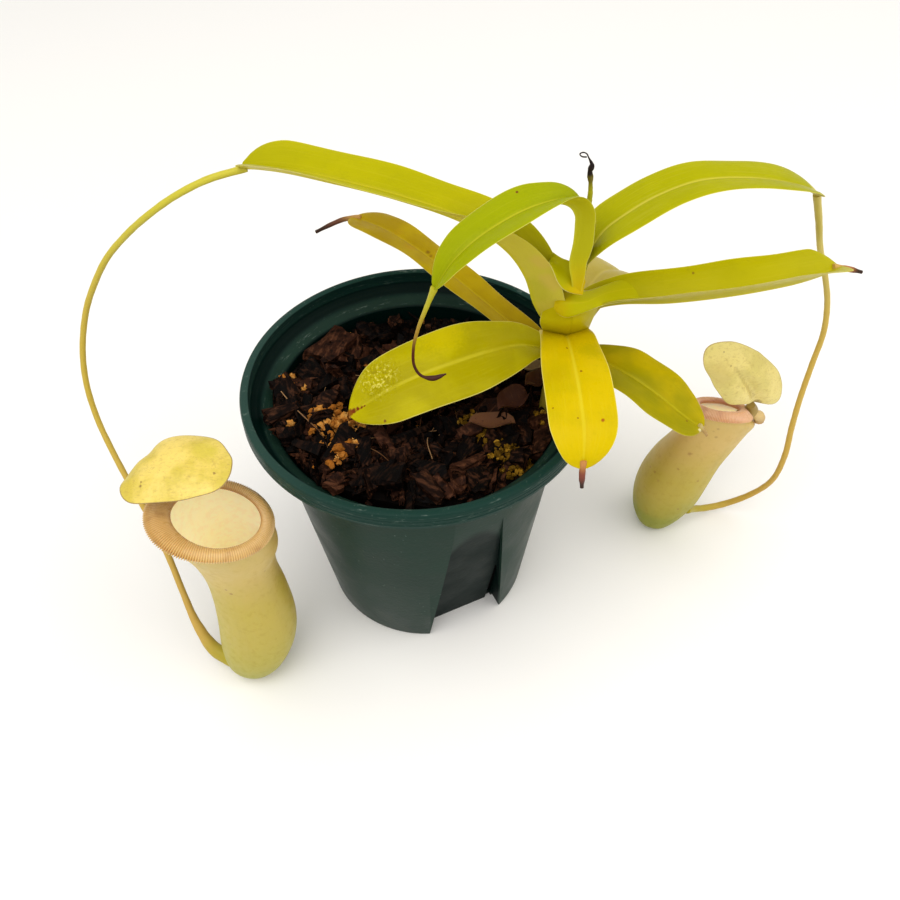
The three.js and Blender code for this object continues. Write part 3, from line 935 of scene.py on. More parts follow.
@dataclass(frozen=True)
class StalkSkin:
    """A stem or tendril, its colour changing from its start to its end."""

    colours: tuple[Colour, ...]
    places: tuple[float, ...]
    fleck: Colour = (0.2, 0.09, 0.02)
    fleck_share: float = 0.25
    roughness: float = 0.42
    shine: float = 0.2

    def make(self, name: str) -> bpy.types.Material:
        """Builds the material under a name."""
        graph = Graph(name)
        around, along_share = graph.surface()
        cloud = graph.noise(graph.place(), 130.0, 3.0)
        moved = along_share + (cloud - 0.5) * 0.06
        body: object = self.colours[0]
        for colour, start, end in zip(self.colours[1:], self.places, self.places[1:]):
            body = graph.mix(graph.ramp(moved, start, end), body, colour)
        lines = graph.noise(graph.join(around * 9.0, along_share * 60.0), 1.0, 3.0)
        body = graph.mix(graph.ramp(lines, 0.56, 0.72, 0.0, self.fleck_share), body, self.fleck)
        graph.set("Base Color", body)
        graph.set("Roughness", graph.ramp(cloud, 0.3, 0.7, self.roughness - 0.05, self.roughness + 0.1))
        graph.set("Specular IOR Level", self.shine)
        graph.bump(lines, 0.12, 0.5)
        graph.flesh(0.1, 1.0, (1.0, 0.8, 0.3))
        return graph.material


@dataclass(frozen=True)
class CupSkin:
    """The wall of a pitcher: dull and mottled outside, waxy and pale inside, where it also glows as painted
    light.
    """

    bottom: Colour
    middle: Colour
    top: Colour
    inside: Colour
    heights: tuple[float, float, float]
    speck: Colour = (0.3, 0.2, 0.05)
    # Emission strength of the inside: a painted glow for light coming through the wall.
    glow: float = 0.15

    def make(
        self, name: str, piece: Piece, marks: Sequence[Mark], studio: Studio
    ) -> bpy.types.Material:
        """Builds the material.

        Args:
            name: The material's name.
            piece: The cup, whose UV map runs up its outer face and down its inner one.
            marks: Its specks and patches.
            studio: The camera that finds them.

        Returns:
            The material.
        """
        graph = Graph(name)
        around, along_share = graph.surface()
        place = graph.place()
        cloud = graph.noise(place, 60.0, 4.0)
        fine = graph.noise(place, 420.0, 4.0, 0.65)
        height = graph.split(place)[2] * 1000.0 + (cloud - 0.5) * 18.0
        low, mid, high = self.heights
        body = graph.mix(graph.ramp(height, low, mid), self.bottom, self.middle)
        body = graph.mix(graph.ramp(height, mid, high), body, self.top)
        veins = graph.noise(graph.join(around * 34.0, along_share * 5.0), 1.0, 3.0, 0.6)
        deeper = graph.mix(1.0, body, (0.78, 0.74, 0.6), "MULTIPLY")
        body = graph.mix(graph.ramp(veins, 0.48, 0.72, 0.0, 0.14), body, deeper)
        body = graph.mix(graph.ramp(fine, 0.52, 0.68, 0.0, 0.3), body, deeper)
        dots = graph.ramp(graph.cells(place, 260.0), 0.2, 0.08, 0.0, 0.55) * graph.ramp(cloud, 0.54, 0.64)
        body = graph.mix(dots, body, self.speck)
        body = mark_colour(graph, body, piece, marks, studio)
        within = graph.ramp(along_share, OUTER_SHARE - 0.004, OUTER_SHARE + 0.004)
        wax_and_glow = graph.mix(graph.ramp(fine, 0.45, 0.62, 0.0, 0.35), self.inside, scaled(self.inside, 0.8))
        graph.set("Base Color", graph.mix(within, body, wax_and_glow))
        # Painted glow: the inner face emits its waxy colour, standing in for light through the wall.
        graph.set("Emission Color", graph.mix(within, (0.0, 0.0, 0.0), wax_and_glow))
        graph.set("Emission Strength", self.glow)
        graph.set("Roughness", graph.ramp(fine, 0.3, 0.7, 0.42, 0.56))
        graph.bump(veins * 0.25 + fine * 0.4, 0.25, 0.5)
        graph.flesh(0.75, 4.0, (1.0, 0.8, 0.35))
        return graph.material


@dataclass(frozen=True)
class LipSkin:
    """The ribbed, shiny lip, darker in its grooves and along its inner edge."""

    crest: Colour
    groove: Colour
    inner: Colour
    hinge: float = 0.5
    hinge_shade: float = 0.85

    def make(self, name: str, ribs: int) -> bpy.types.Material:
        """Builds the material.

        Args:
            name: The material's name.
            ribs: How many ribs the lip has.

        Returns:
            The material.
        """
        graph = Graph(name)
        around, along_share = graph.surface()
        near_hinge = graph.ramp(abs(along_share - self.hinge), 0.24, 0.06, 0.0, self.hinge_shade)
        wave = graph.math("COSINE", along_share * (ribs * FULL_TURN)) * 0.5 + 0.5
        cloud = graph.noise(graph.place(), 180.0, 4.0, 0.6)
        body = graph.mix(near_hinge, self.groove, self.inner)
        body = graph.mix(wave * 0.85, body, self.crest)
        body = graph.mix(graph.ramp(cloud, 0.5, 0.7, 0.0, 0.5), body, self.inner)
        body = graph.mix(graph.ramp(abs(around - 0.5), 0.16, 0.03, 0.0, 0.75), body, self.inner)
        graph.set("Base Color", body)
        graph.set("Roughness", graph.ramp(cloud, 0.35, 0.65, 0.26, 0.4))
        graph.set("Coat Weight", 0.25)
        graph.set("Coat Roughness", 0.2)
        graph.bump(cloud, 0.15, 0.4)
        graph.flesh(0.18, 1.5, (1.0, 0.6, 0.3))
        return graph.material


@dataclass(frozen=True)
class LidSkin:
    """The lid: a yellow plate with fine brown flecks and branching veins, and a darker band round its edge
    painted as shade.
    """

    pale: Colour
    deep: Colour
    under: Colour
    # Darker colour of the painted shade band round the lid's edge.
    edge: Colour
    fleck: Colour = (0.38, 0.24, 0.05)

    def make(
        self, name: str, piece: Piece, marks: Sequence[Mark], studio: Studio
    ) -> bpy.types.Material:
        """Builds the material.

        Args:
            name: The material's name.
            piece: The lid, whose UV map runs from the middle over the top, and back below.
            marks: Its specks and patches.
            studio: The camera that finds them.

        Returns:
            The material.
        """
        graph = Graph(name)
        _, along_share = graph.surface()
        place = graph.place()
        cloud = graph.noise(place, 95.0, 4.0)
        fine = graph.noise(place, 620.0, 4.0, 0.65)
        threads = graph.noise(graph.place((0.35, 1.0, 1.0)), 1900.0, 3.0, 0.7)
        dots = graph.ramp(graph.cells(place, 1500.0), 0.3, 0.12, 0.0, 0.36)
        dots = dots * graph.ramp(graph.noise(place, 260.0), 0.48, 0.6)
        body = graph.mix(graph.ramp(cloud, 0.4, 0.62), self.pale, self.deep)
        spots = graph.ramp(fine, 0.54, 0.72, 0.0, 0.36)
        strokes = graph.ramp(threads, 0.52, 0.68, 0.0, 0.3)
        for flecks in (spots, strokes, dots):
            body = graph.mix(flecks, body, self.fleck)
        body = graph.mix(graph.ramp(along_share, 0.498, 0.502) * 0.8, body, self.under)
        # Painted shade: a darker band round the edge stands for the shaded rim of the lid's underside.
        rim = graph.ramp(abs(along_share - 0.5), 0.018, 0.008)
        body = graph.mix(rim * 0.9, body, self.edge)
        body = mark_colour(graph, body, piece, marks, studio)
        graph.set("Base Color", body)
        graph.set("Roughness", graph.ramp(fine, 0.3, 0.7, 0.4, 0.55))
        graph.bump(cloud * 0.6 + fine, 0.3, 0.5)
        graph.flesh(0.15, 1.5, (1.0, 0.85, 0.3))
        return graph.material


# Pot and soil


@dataclass
class Pot:
    """The nursery pot: a tapered shell, a rim band, three flat panels and a drainage slit beside each."""

    height: float = 90.0
    base_radius: float = 34.2
    wall_top_radius: float = 45.3
    rim_radius: float = 52.5
    rim_width: float = 2.6
    rim_band: float = 5.8
    ledge_height: float = 80.0
    wall: float = 1.5
    floor: float = 1.6
    edge: float = 1.1
    sides: int = 192
    panel_count: int = 3
    panel_angle: float = -68.6
    panel_base: float = 26.0
    panel_top: float = 44.6
    panel_base_half: float = 13.7
    panel_top_half: float = 6.9
    panel_height: float = 76.0
    slit_width: float = 2.2
    slit_height: float = 52.0
    slit_depth: float = 8.0
    slit_inset: float = 1.0

    def wall_radius(self, height: float) -> float:
        """Gives the outer radius of the tapered wall at a height."""
        share = height / (self.height - self.rim_band)
        return self.base_radius + (self.wall_top_radius - self.base_radius) * share

    def corners(
        self, angle: float, near: float, far: float, low: float, high: float, height: float
    ) -> list[Point]:
        """Gives the corners of a level slice through a block that stands off the pot's axis.

        Args:
            angle: The compass way that the block faces.
            near: Where it starts along that way.
            far: Where it ends along that way.
            low: Where it starts across that way.
            high: Where it ends across that way.
            height: The slice's height.

        Returns:
            The four corners in order.
        """
        cosine, sine = math.cos(math.radians(angle)), math.sin(math.radians(angle))
        loose = [(near, low), (far, low), (far, high), (near, high)]
        return [(x * cosine - y * sine, x * sine + y * cosine, height) for x, y in loose]

    def panel(self, angle: float, inset: float) -> Piece:
        """Adds the block outside a panel's leaning plane.

        Args:
            angle: The compass way that the panel faces.
            inset: How far the block reaches into the pot past the plane.

        Returns:
            The block.
        """
        reach, drop = self.rim_radius + 6, 4.0
        lean = (self.panel_top - self.panel_base) / self.panel_height

        def level(height: float, distance: float, half: float) -> list[Point]:
            """Gives the corners at one height of the block."""
            side = half + inset
            return self.corners(angle, distance - inset, reach, -side, side, height)

        bottom = level(-drop, self.panel_base - drop * lean, self.panel_base_half)
        top = level(self.panel_height + inset, self.panel_top + inset * lean, self.panel_top_half)
        return block("panel_cutter", bottom, top)

    def slit(self, angle: float) -> Piece:
        """Adds the block that cuts the slit at a panel's side."""
        near = self.panel_base - self.slit_inset
        low = self.panel_base_half - 1.5 * self.slit_width
        bottom, top = (
            self.corners(angle, near, near + self.slit_depth, low, low + self.slit_width, height)
            for height in (-self.slit_height, self.slit_height)
        )
        return block("slit_cutter", bottom, top)

    def angles(self) -> list[float]:
        """Gives the compass ways that the panels face."""
        return [self.panel_angle + 360 / self.panel_count * index for index in range(self.panel_count)]

    def widening(self, gap: float) -> list[tuple[float, float]]:
        """Gives the radii and heights of the room inside where the wall widens to the rim."""
        ledge = self.wall_radius(self.ledge_height) - self.wall - gap
        mouth = self.rim_radius - self.rim_width
        return [
            (ledge, self.ledge_height + 1),
            (ledge + 1.4, self.ledge_height + 2.2),
            (mouth - 0.7, self.ledge_height + 5.4),
        ]

    def hollow(self, gap: float, top: float) -> Piece:
        """Adds the room inside the pot.

        Args:
            gap: The room left to the pot's wall.
            top: The height that it ends at.

        Returns:
            The room's body.
        """
        floor = self.floor + gap
        inner = self.wall_radius(floor) - self.wall - gap
        widening = self.widening(gap)
        if top > self.height:
            mouth = self.rim_radius - self.rim_width
            profile = [(inner, floor), *widening, (mouth, self.ledge_height + 6.6), (mouth, top)]
        else:
            ledge, ledge_height = widening[0]
            share = (top - floor) / (ledge_height - floor)
            profile = [(inner, floor), (inner + (ledge - inner) * share, top)]
        room = turned("pot_room", profile, self.sides)
        cut(room, [self.panel(angle, self.wall + gap) for angle in self.angles()])
        return room

    def build(self, studio: Studio) -> None:
        """Models the pot.

        Args:
            studio: The camera, which finds nothing here.
        """
        band = self.height - self.rim_band
        outside = self.rim_radius
        profile = [
            (self.base_radius - self.edge, 0),
            (self.base_radius - 0.35, 0.3),
            (self.base_radius, self.edge),
            (self.wall_radius(40), 40),
            (self.wall_radius(self.ledge_height), self.ledge_height),
            (outside - 3.4, band - 1.4),
            (outside - 2.4, band - 0.15),
            (outside - 0.7, band),
            (outside - 0.15, band + 0.35),
            (outside, band + 1.1),
            (outside, band + 1.7),
            (outside - 0.16, band + 1.85),
            (outside, band + 2.0),
            (outside, band + 2.9),
            (outside - 0.16, band + 3.05),
            (outside, band + 3.2),
            (outside, self.height - 1.0),
            (outside - 0.3, self.height - 0.3),
            (outside - 1.0, self.height),
            (outside - self.rim_width + 0.7, self.height),
            (outside - self.rim_width - 0.1, self.height - 0.25),
            (outside - self.rim_width - 0.12, self.height - 0.26),
        ]
        shell = turned("pot_shell", profile, self.sides)
        cut(shell, [self.panel(angle, 0) for angle in self.angles()])
        cut(shell, [self.hollow(0, self.height + 2)])
        cut(shell, [self.slit(angle) for angle in self.angles()])
        keep(shell, Slot.POT, PotPlastic().make("pot_plastic"), "pot", crease=32)


@dataclass
class Soil:
    """Bark mix: a dark bed, bark chips, orange and yellow grains, roots and a few dead leaf scraps."""

    pot: Pot
    level: float = 76.6
    fill_top: float = 70.0
    bed_gap: float = 0.5
    bed_radius: float = 42.6
    bed_underside: float = 68.5
    bed_top_share: float = 0.75
    spread: float = 43.5
    seed: int = 11
    chip_count: int = 330
    crumb_count: int = 900
    loose_grains: int = 60
    root_count: int = 16
    drift: float = 6.0
    push: float = 2.4
    large_chips: tuple[tuple[Pixel, int, float], ...] = (
        ((332, 350), 0, 1.35), ((352, 346), 3, 1.2), ((284, 424), 1, 1.0), ((392, 332), 2, 1.1),
        ((300, 392), 1, 1.0), ((460, 455), 0, 0.9), ((485, 480), 3, 1.0), ((430, 490), 1, 1.1),
        ((405, 440), 2, 1.2), ((375, 488), 3, 1.1), ((310, 460), 1, 0.9), ((545, 440), 0, 0.9),
    )

    def __post_init__(self) -> None:
        """Starts the random draws and the noise."""
        self.draw = random.Random(self.seed)
        noise.seed_set(self.seed)

    def build(self, studio: Studio) -> None:
        """Models the soil.

        Args:
            studio: The camera, which finds where the grain clusters lie.
        """
        self.bed()
        self.chips(studio)
        self.crumbs()
        self.grains(studio)
        self.roots()
        self.scraps(studio)

    def uphill(self, start: float, x: float, y: float) -> float:
        """Gives how far up the drift a place is, from 0 where it starts to 1 at the wall."""
        return float(blend(start, 42, -x - 0.62 * y))

    def mound(self, x: float, y: float) -> float:
        """Gives the height of the bed at a place."""
        low = noise.noise(Vector((x * 0.06, y * 0.06, 3.1))) * 1.6
        rough = noise.noise(Vector((x * 0.31, y * 0.31, 7.7))) * 0.9
        return self.level + low + rough + self.drift * self.uphill(4, x, y)

    def bed(self) -> None:
        """Models the bed that fills the pot."""
        fill = self.pot.hollow(self.bed_gap, self.fill_top)

        def shape(around: np.ndarray, along_share: np.ndarray) -> np.ndarray:
            """Lays a round cushion over the fill: top from the middle outwards, then back below."""
            turn = around * FULL_TURN
            top = along_share < self.bed_top_share
            below = (1 - along_share) / (1 - self.bed_top_share)
            radius = np.where(top, along_share / self.bed_top_share, below) * self.bed_radius
            x, y = radius * np.cos(turn), radius * np.sin(turn)
            height = [self.mound(a, b) if flag else self.bed_underside for a, b, flag in zip(x, y, top)]
            return np.stack([x, y, np.array(height)], axis=1)

        bed = joined("soil_bed", [fill, wrap("soil_cushion", 128, 64, shape)])
        # Near-black bed: the dark soil, darkened further as painted shade in the gaps between the chips.
        finish = BarkSkin((0.0015, 0.0008, 0.0006), (0.003, 0.0015, 0.001), (0.01, 0.004, 0.002))
        keep(bed, Slot.SOIL, finish.make(bed.name), "soil")

    def chip_model(self, size: Point, bend: float, rough: float) -> Piece:
        """Models one bark chip.

        Args:
            size: Its length, width and thickness.
            bend: How far it curls.
            rough: How ragged its faces are.

        Returns:
            The chip, centred at the origin.
        """
        deselect()
        bpy.ops.mesh.primitive_cube_add(size=1)
        chip = bpy.context.object
        with editing(chip):
            bpy.ops.mesh.subdivide(number_cuts=2)
        points = coordinates(chip)
        offset = self.draw.random() * 50
        taper = self.draw.uniform(0.35, 0.9)
        skew = self.draw.uniform(-0.35, 0.35)
        grain = 2.3
        for index, (x, y, z) in enumerate(points):
            jag = noise.noise_vector(Vector((x * grain + offset, y * grain, z * grain))) * rough
            narrow = 1 - (1 - taper) * (x + 0.5)
            points[index] = (
                (x + jag.x + skew * y) * size[0],
                (y * narrow + jag.y) * size[1],
                (z + jag.z * 0.8) * size[2] + bend * size[2] * (0.25 - y * y) * 4,
            )
        place_vertices(chip, points * MM)
        return chip

    def scatter(self, reach: float) -> tuple[float, float]:
        """Draws an even random place on the soil."""
        radius = reach * math.sqrt(self.draw.random())
        turn = self.draw.uniform(0, FULL_TURN)
        x, y = radius * math.cos(turn), radius * math.sin(turn)
        push = self.push * self.uphill(18, x, y)
        return x - push, y - 0.4 * push

    def lay(self, x: float, y: float, lift: float, tilt: float, scale: float) -> Matrix:
        """Gives the place of a bit of soil.

        Args:
            x: Its place across.
            y: Its place away from the camera.
            lift: Its height over the bed.
            tilt: The most that it leans, in degrees.
            scale: Its size against the model.

        Returns:
            Its place in metres.
        """
        lean = math.radians(tilt)
        turn = Matrix.Rotation(self.draw.uniform(0, FULL_TURN), 4, "Z")
        nod = Matrix.Rotation(self.draw.gauss(0, lean / 2), 4, "X")
        roll = Matrix.Rotation(self.draw.gauss(0, lean / 2), 4, "Y")
        spot = Vector((x, y, self.mound(x, y) + lift)) * MM
        return Matrix.Translation(spot) @ turn @ nod @ roll @ Matrix.Scale(scale, 4)

    def contain(self, piece: Piece) -> None:
        """Draws in the points of a piece that would stand in the pot's wall."""
        radii, heights = zip((self.pot.base_radius - self.pot.wall, 0), *self.pot.widening(0))
        points = coordinates(piece) / MM
        room = np.interp(points[:, 2], heights, radii) - 0.4
        reach = np.maximum(np.hypot(points[:, 0], points[:, 1]), room)
        points[:, :2] *= (room / reach)[:, None]
        place_vertices(piece, points * MM)

    def chips(self, studio: Studio) -> None:
        """Scatters the bark chips, and lays the large ones where the photograph shows them."""
        sizes = [
            (12.0, 7.5, 3.4), (10.0, 5.0, 2.6), (13.0, 4.2, 2.2), (7.5, 6.0, 3.6), (9.0, 3.0, 1.8),
            (6.0, 4.5, 2.6),
        ]
        models = [self.chip_model(size, self.draw.uniform(-0.4, 0.8), 0.2) for size in sizes]
        places = []
        for index in range(self.chip_count):
            scale = self.draw.uniform(0.45, 1.15) if index % 5 else self.draw.uniform(1.0, 1.35)
            kind = self.draw.randrange(len(models))
            x, y = self.scatter(self.spread - 5.0 * scale)
            places.append((kind, self.lay(x, y, self.draw.uniform(-0.6, 2.4), 52, scale)))
        for pixel, kind, scale in self.large_chips:
            x, y, _ = studio.level(pixel, self.level + 3.5)
            places.append((kind, self.lay(x, y, 2.6, 16, scale)))
        chips = copies("bark_chips", models, places)
        discard(models)
        self.contain(chips)
        finish = BarkSkin((0.0014, 0.0007, 0.0006), (0.036, 0.012, 0.006), (0.11, 0.042, 0.02))
        keep(chips, Slot.SOIL, finish.make(chips.name), crease=24)

    def crumbs(self) -> None:
        """Scatters the crumbs and short fibres between the chips."""
        sizes = [(2.6, 1.6, 1.0), (4.6, 0.8, 0.6), (1.8, 1.5, 1.2)]
        models = [self.chip_model(size, 0.3, 0.24) for size in sizes]
        places = []
        for _ in range(self.crumb_count):
            x, y = self.scatter(self.spread - 3.2)
            scale = self.draw.uniform(0.5, 1.3)
            kind = self.draw.randrange(len(models))
            places.append((kind, self.lay(x, y, self.draw.uniform(0.0, 2.6), 60, scale)))
        crumbs = copies("soil_crumbs", models, places)
        discard(models)
        self.contain(crumbs)
        finish = BarkSkin((0.002, 0.001, 0.0008), (0.03, 0.01, 0.005), (0.1, 0.036, 0.014), 0.8, 500.0)
        keep(crumbs, Slot.SOIL, finish.make(crumbs.name), crease=30)

    def grain_models(self) -> list[Piece]:
        """Models the pumice grains, 1 mm across."""
        models = []
        for index in range(5):
            deselect()
            bpy.ops.mesh.primitive_ico_sphere_add(subdivisions=2, radius=0.5)
            grain = bpy.context.object
            points = coordinates(grain)
            for place, point in enumerate(points):
                swell = 1 + 0.9 * noise.noise(Vector(point) * 2.6 + Vector((index * 9.0, 0, 0)))
                points[place] = point * swell * (1.0, 0.85, 0.75)
            place_vertices(grain, points * MM)
            models.append(grain)
        return models

    def grains(self, studio: Studio) -> None:
        """Scatters pumice grains, thickest where the photograph shows clusters of them."""
        clusters = [
            ((343, 440), 90, 7.0), ((324, 436), 26, 4.6), ((352, 462), 26, 4.0), ((300, 400), 8, 3.0),
            ((288, 362), 3, 1.0), ((306, 347), 5, 1.5), ((318, 336), 4, 1.5), ((333, 325), 5, 1.5),
            ((373, 316), 4, 1.5), ((284, 401), 5, 2.0), ((290, 440), 5, 4.0), ((338, 478), 14, 2.6),
            ((474, 424), 22, 2.6), ((485, 440), 70, 5.0), ((505, 458), 90, 5.5), ((520, 474), 50, 4.5),
            ((537, 428), 30, 4.5), ((468, 432), 14, 3.0),
        ]
        models = self.grain_models()
        small_side = 460
        orange, olive = [], []
        for pixel, count, reach in clusters:
            small = pixel[0] > small_side
            middle = studio.level(pixel, self.level)
            for _ in range(count):
                x = middle[0] + self.draw.gauss(0, reach / 2)
                y = middle[1] + self.draw.gauss(0, reach / 2)
                if math.hypot(x, y) > self.spread - 1.5:
                    continue
                size = self.draw.uniform(0.9, 2.1) if small else self.draw.uniform(1.3, 3.4)
                place = self.lay(x, y, self.draw.uniform(1.6, 4.2), 90, size)
                (olive if small else orange).append((self.draw.randrange(len(models)), place))
        for _ in range(self.loose_grains):
            x, y = self.scatter(self.spread - 2)
            place = self.lay(x, y, self.draw.uniform(0.4, 1.6), 90, self.draw.uniform(0.8, 2.0))
            orange.append((self.draw.randrange(len(models)), place))
        for name, places, tones in (
            ("orange_grains", orange, ((0.3, 0.1, 0.012), (0.52, 0.22, 0.04), (0.66, 0.36, 0.1))),
            ("olive_grains", olive, ((0.1, 0.05, 0.003), (0.26, 0.13, 0.008), (0.4, 0.23, 0.03))),
        ):
            grains = copies(name, models, places)
            keep(grains, Slot.SOIL, BarkSkin(*tones, 0.9, 420.0).make(name), crease=50)
        discard(models)

    def roots(self) -> None:
        """Lays thin roots and fibres over the chips."""
        known = [
            [(-41, 2), (-37, -4), (-33, -11), (-28.5, -17), (-26, -24)],
            [(-25, -8), (-20.5, -14), (-16.5, -20.5), (-12, -24), (-8, -29)],
            [(-5, -26), (-3.6, -19), (-0.4, -12.5), (0.6, -6)],
            [(3, -25), (2, -17), (4.6, -11.5), (5.4, -6)],
            [(15, -13), (16.4, -7.5), (19.4, -3), (20, 3)],
        ]
        routes = known + [self.random_route() for _ in range(self.root_count)]
        loose = []
        for index, route in enumerate(routes):
            points = [(x, y, self.mound(x, y) + self.draw.uniform(2.4, 4.2)) for x, y in route]
            thickness = 0.16 if index < len(known) else self.draw.uniform(0.07, 0.12)
            radii = [thickness, thickness, thickness * 0.5]
            loose.append(stalk(f"root_{index}", Path(points), radii, 6, 24))
        roots = joined("fine_roots", loose)
        finish = StalkSkin(((0.3, 0.17, 0.08), (0.12, 0.05, 0.02)), (0.2, 0.9), fleck_share=0.5, shine=0.05)
        keep(roots, Slot.SOIL, finish.make(roots.name))

    def random_route(self) -> list[tuple[float, float]]:
        """Draws a short wandering route on the soil."""
        x, y = self.scatter(self.spread - 12)
        turn = self.draw.uniform(0, FULL_TURN)
        route = [(x, y)]
        step = 4.2
        for _ in range(3):
            turn += self.draw.gauss(0, 0.6)
            x += step * math.cos(turn)
            y += step * math.sin(turn)
            route.append((x, y))
        return route

    def scraps(self, studio: Studio) -> None:
        """Lays the dead leaf scraps, each with its length, width, heading, curl and colour."""
        known = [
            ((492, 423), 13.8, 6.4, -6.0, 0.8, (0.13, 0.055, 0.026)),
            ((513, 402), 11.0, 8.5, 30.0, 1.3, (0.07, 0.026, 0.016)),
            ((538, 382), 8.5, 6.5, 15.0, 1.2, (0.1, 0.04, 0.02)),
            ((531, 368), 8.5, 4.5, -12.0, 0.8, (0.42, 0.29, 0.15)),
        ]
        lift_over_bed = 7.0
        for index, (pixel, length, width, turn, curl, tone) in enumerate(known):
            middle = Vector(studio.level(pixel, self.level + lift_over_bed))
            heading = math.radians(turn)

            def shape(around: np.ndarray, along_share: np.ndarray) -> np.ndarray:
                """Curls a pointed scrap over the chips."""
                across = 1 - np.abs(4 * around - 2)
                lift = np.where(around < 0.5, 0.18, -0.18) * (1 - across**6)
                half = width / 2 * np.sin(np.pi * np.clip(along_share, 0.001, 0.999)) ** 0.6
                x = (along_share - 0.5) * length
                y = half * across
                z = curl * (across**2 * 2.4 + np.cos(along_share * 7) * 0.8) + lift
                z = z * np.sin(np.pi * along_share) ** 0.3
                return np.stack([
                    middle.x + x * math.cos(heading) - y * math.sin(heading),
                    middle.y + x * math.sin(heading) + y * math.cos(heading),
                    middle.z + z,
                ], axis=1)

            scrap = wrap(f"dead_leaf_{index + 1}", 32, 24, shape)
            finish = StalkSkin((tone, scaled(tone, 0.7)), (0.1, 0.9), fleck_share=0.4, shine=0.04)
            keep(scrap, Slot.SOIL, finish.make(scrap.name))


# Stem, leaves and tendrils


def stalk(name: str, path: Path, radii: Stations, sides: int, rows: int, wander: float = 0.0) -> Piece:
    """Models a round stalk with domed ends.

    Args:
        name: The stalk's name.
        path: Its middle line.
        radii: Its radius at even stations.
        sides: How many faces run round it.
        rows: How many faces run along it.
        wander: How far its thickness wanders, as a share.

    Returns:
        The closed stalk.
    """
    centres, first, second = path.frames(rows - 2)

    def shape(around: np.ndarray, along_share: np.ndarray) -> np.ndarray:
        """Lays a grid round the middle line, its first and last rows drawn in to a point."""
        share, is_open = open_rows(along_share, rows)
        row = np.rint(share * (rows - 2)).astype(int)
        radius = through(radii, share) * is_open
        radius = radius * (1 + wander * np.sin(row * 0.9) * np.sin(row * 0.23 + 1))
        turn = (around * FULL_TURN)[:, None]
        return centres[row] + radius[:, None] * (first[row] * np.cos(turn) + second[row] * np.sin(turn))

    return wrap(name, sides, rows, shape)


@dataclass
class Tip:
    """The dried end that the midrib of an older leaf runs out into."""

    path: Sequence[Point]
    radii: Stations
    colours: tuple[Colour, ...]

    def build(self, name: str) -> None:
        """Models the dried end of the named leaf."""
        tip = stalk(f"{name}_tip", Path(self.path), self.radii, 10, 20, 0.08)
        finish = StalkSkin(self.colours, (0.15, 0.5, 0.85)[: len(self.colours)], fleck_share=0.5)
        keep(tip, Slot.YOUNG_TIP, finish.make(tip.name))


@dataclass
class Leaf:
    """One strap leaf, given by its midrib, its compass way, its half widths, fold and roll."""

    name: str
    slot: Slot
    rib: Sequence[Point]
    heading: float
    half: Stations
    fold: Stations
    skin: LeafSkin
    roll: Stations = (0.0, 0.0)
    marks: Sequence[Mark] = ()
    tip_share: float = 0.16
    arch: float = 0.1
    wave: float = 0.35
    waves: float = 3.0
    phase: float = 0.0
    thickness: float = 0.5
    rib_depth: float = 0.75
    tip: Optional[Tip] = None
    columns: int = 72
    rows: int = 96

    def surface(self, share: np.ndarray, across: np.ndarray, lift: np.ndarray) -> np.ndarray:
        """Gives points of the blade.

        Args:
            share: The place along the midrib.
            across: The place from one margin, -1, to the other, 1.
            lift: The height over the blade's middle face.

        Returns:
            One point a row.
        """
        path = Path(self.rib)
        heading = math.radians(self.heading)
        right = np.array([math.sin(heading), -math.cos(heading), 0.0])
        ways = path.way(share)
        side = unit(right - ways * (ways @ right)[:, None])
        face = np.cross(side, ways)
        roll = np.radians(through(self.roll, share))[:, None]
        fold = np.radians(through(self.fold, share))
        start = 1 - self.tip_share
        narrow = np.sqrt(1 - (np.clip(share - start, 0, None) / self.tip_share * 0.985) ** 2)
        half = through(self.half, share) * narrow
        turned_side = side * np.cos(roll) + face * np.sin(roll)
        turned_face = face * np.cos(roll) - side * np.sin(roll)
        edge = np.abs(across) ** 3
        ripple = self.wave * edge * np.sin(FULL_TURN * self.waves * share + self.phase + across * 1.7)
        ripple = ripple * blend(0.02, 0.2, share)
        groove = -0.28 * np.exp(-((across * half / 0.7) ** 2))
        rise = half * (np.abs(across) * np.sin(fold) - self.arch * across * across) + ripple + groove
        out = (half * across * np.cos(fold))[:, None]
        return path.at(share) + turned_side * out + turned_face * (rise + lift)[:, None]

    def shape(self, around: np.ndarray, along_share: np.ndarray) -> np.ndarray:
        """Lays a grid over the upper face and back along the lower one."""
        share, is_open = open_rows(along_share, self.rows)
        across = 1 - np.abs(4 * around - 2)
        across = np.sin(across * np.pi / 2) * 0.5 + across * 0.5
        across = np.where(is_open, across, 0.0)
        swell = (1 - across**8) * self.thickness / 2
        rib = self.rib_depth * np.exp(-((across / 0.075) ** 2)) * blend(1.0, 0.75, share)
        lift = np.where(around < 0.5, swell, -swell - rib) * is_open
        return self.surface(share, across, lift)

    def build(self, studio: Studio) -> None:
        """Models the leaf.

        Args:
            studio: The camera, which finds the leaf's marks.
        """
        blade = wrap(f"{self.name}_blade", self.columns, self.rows, self.shape)
        bpy.context.view_layer.update()
        finish = self.skin.make(f"{self.name}_skin", blade, self.marks, studio)
        keep(blade, self.slot, finish, self.name, crease=55)
        if self.tip:
            self.tip.build(self.name)


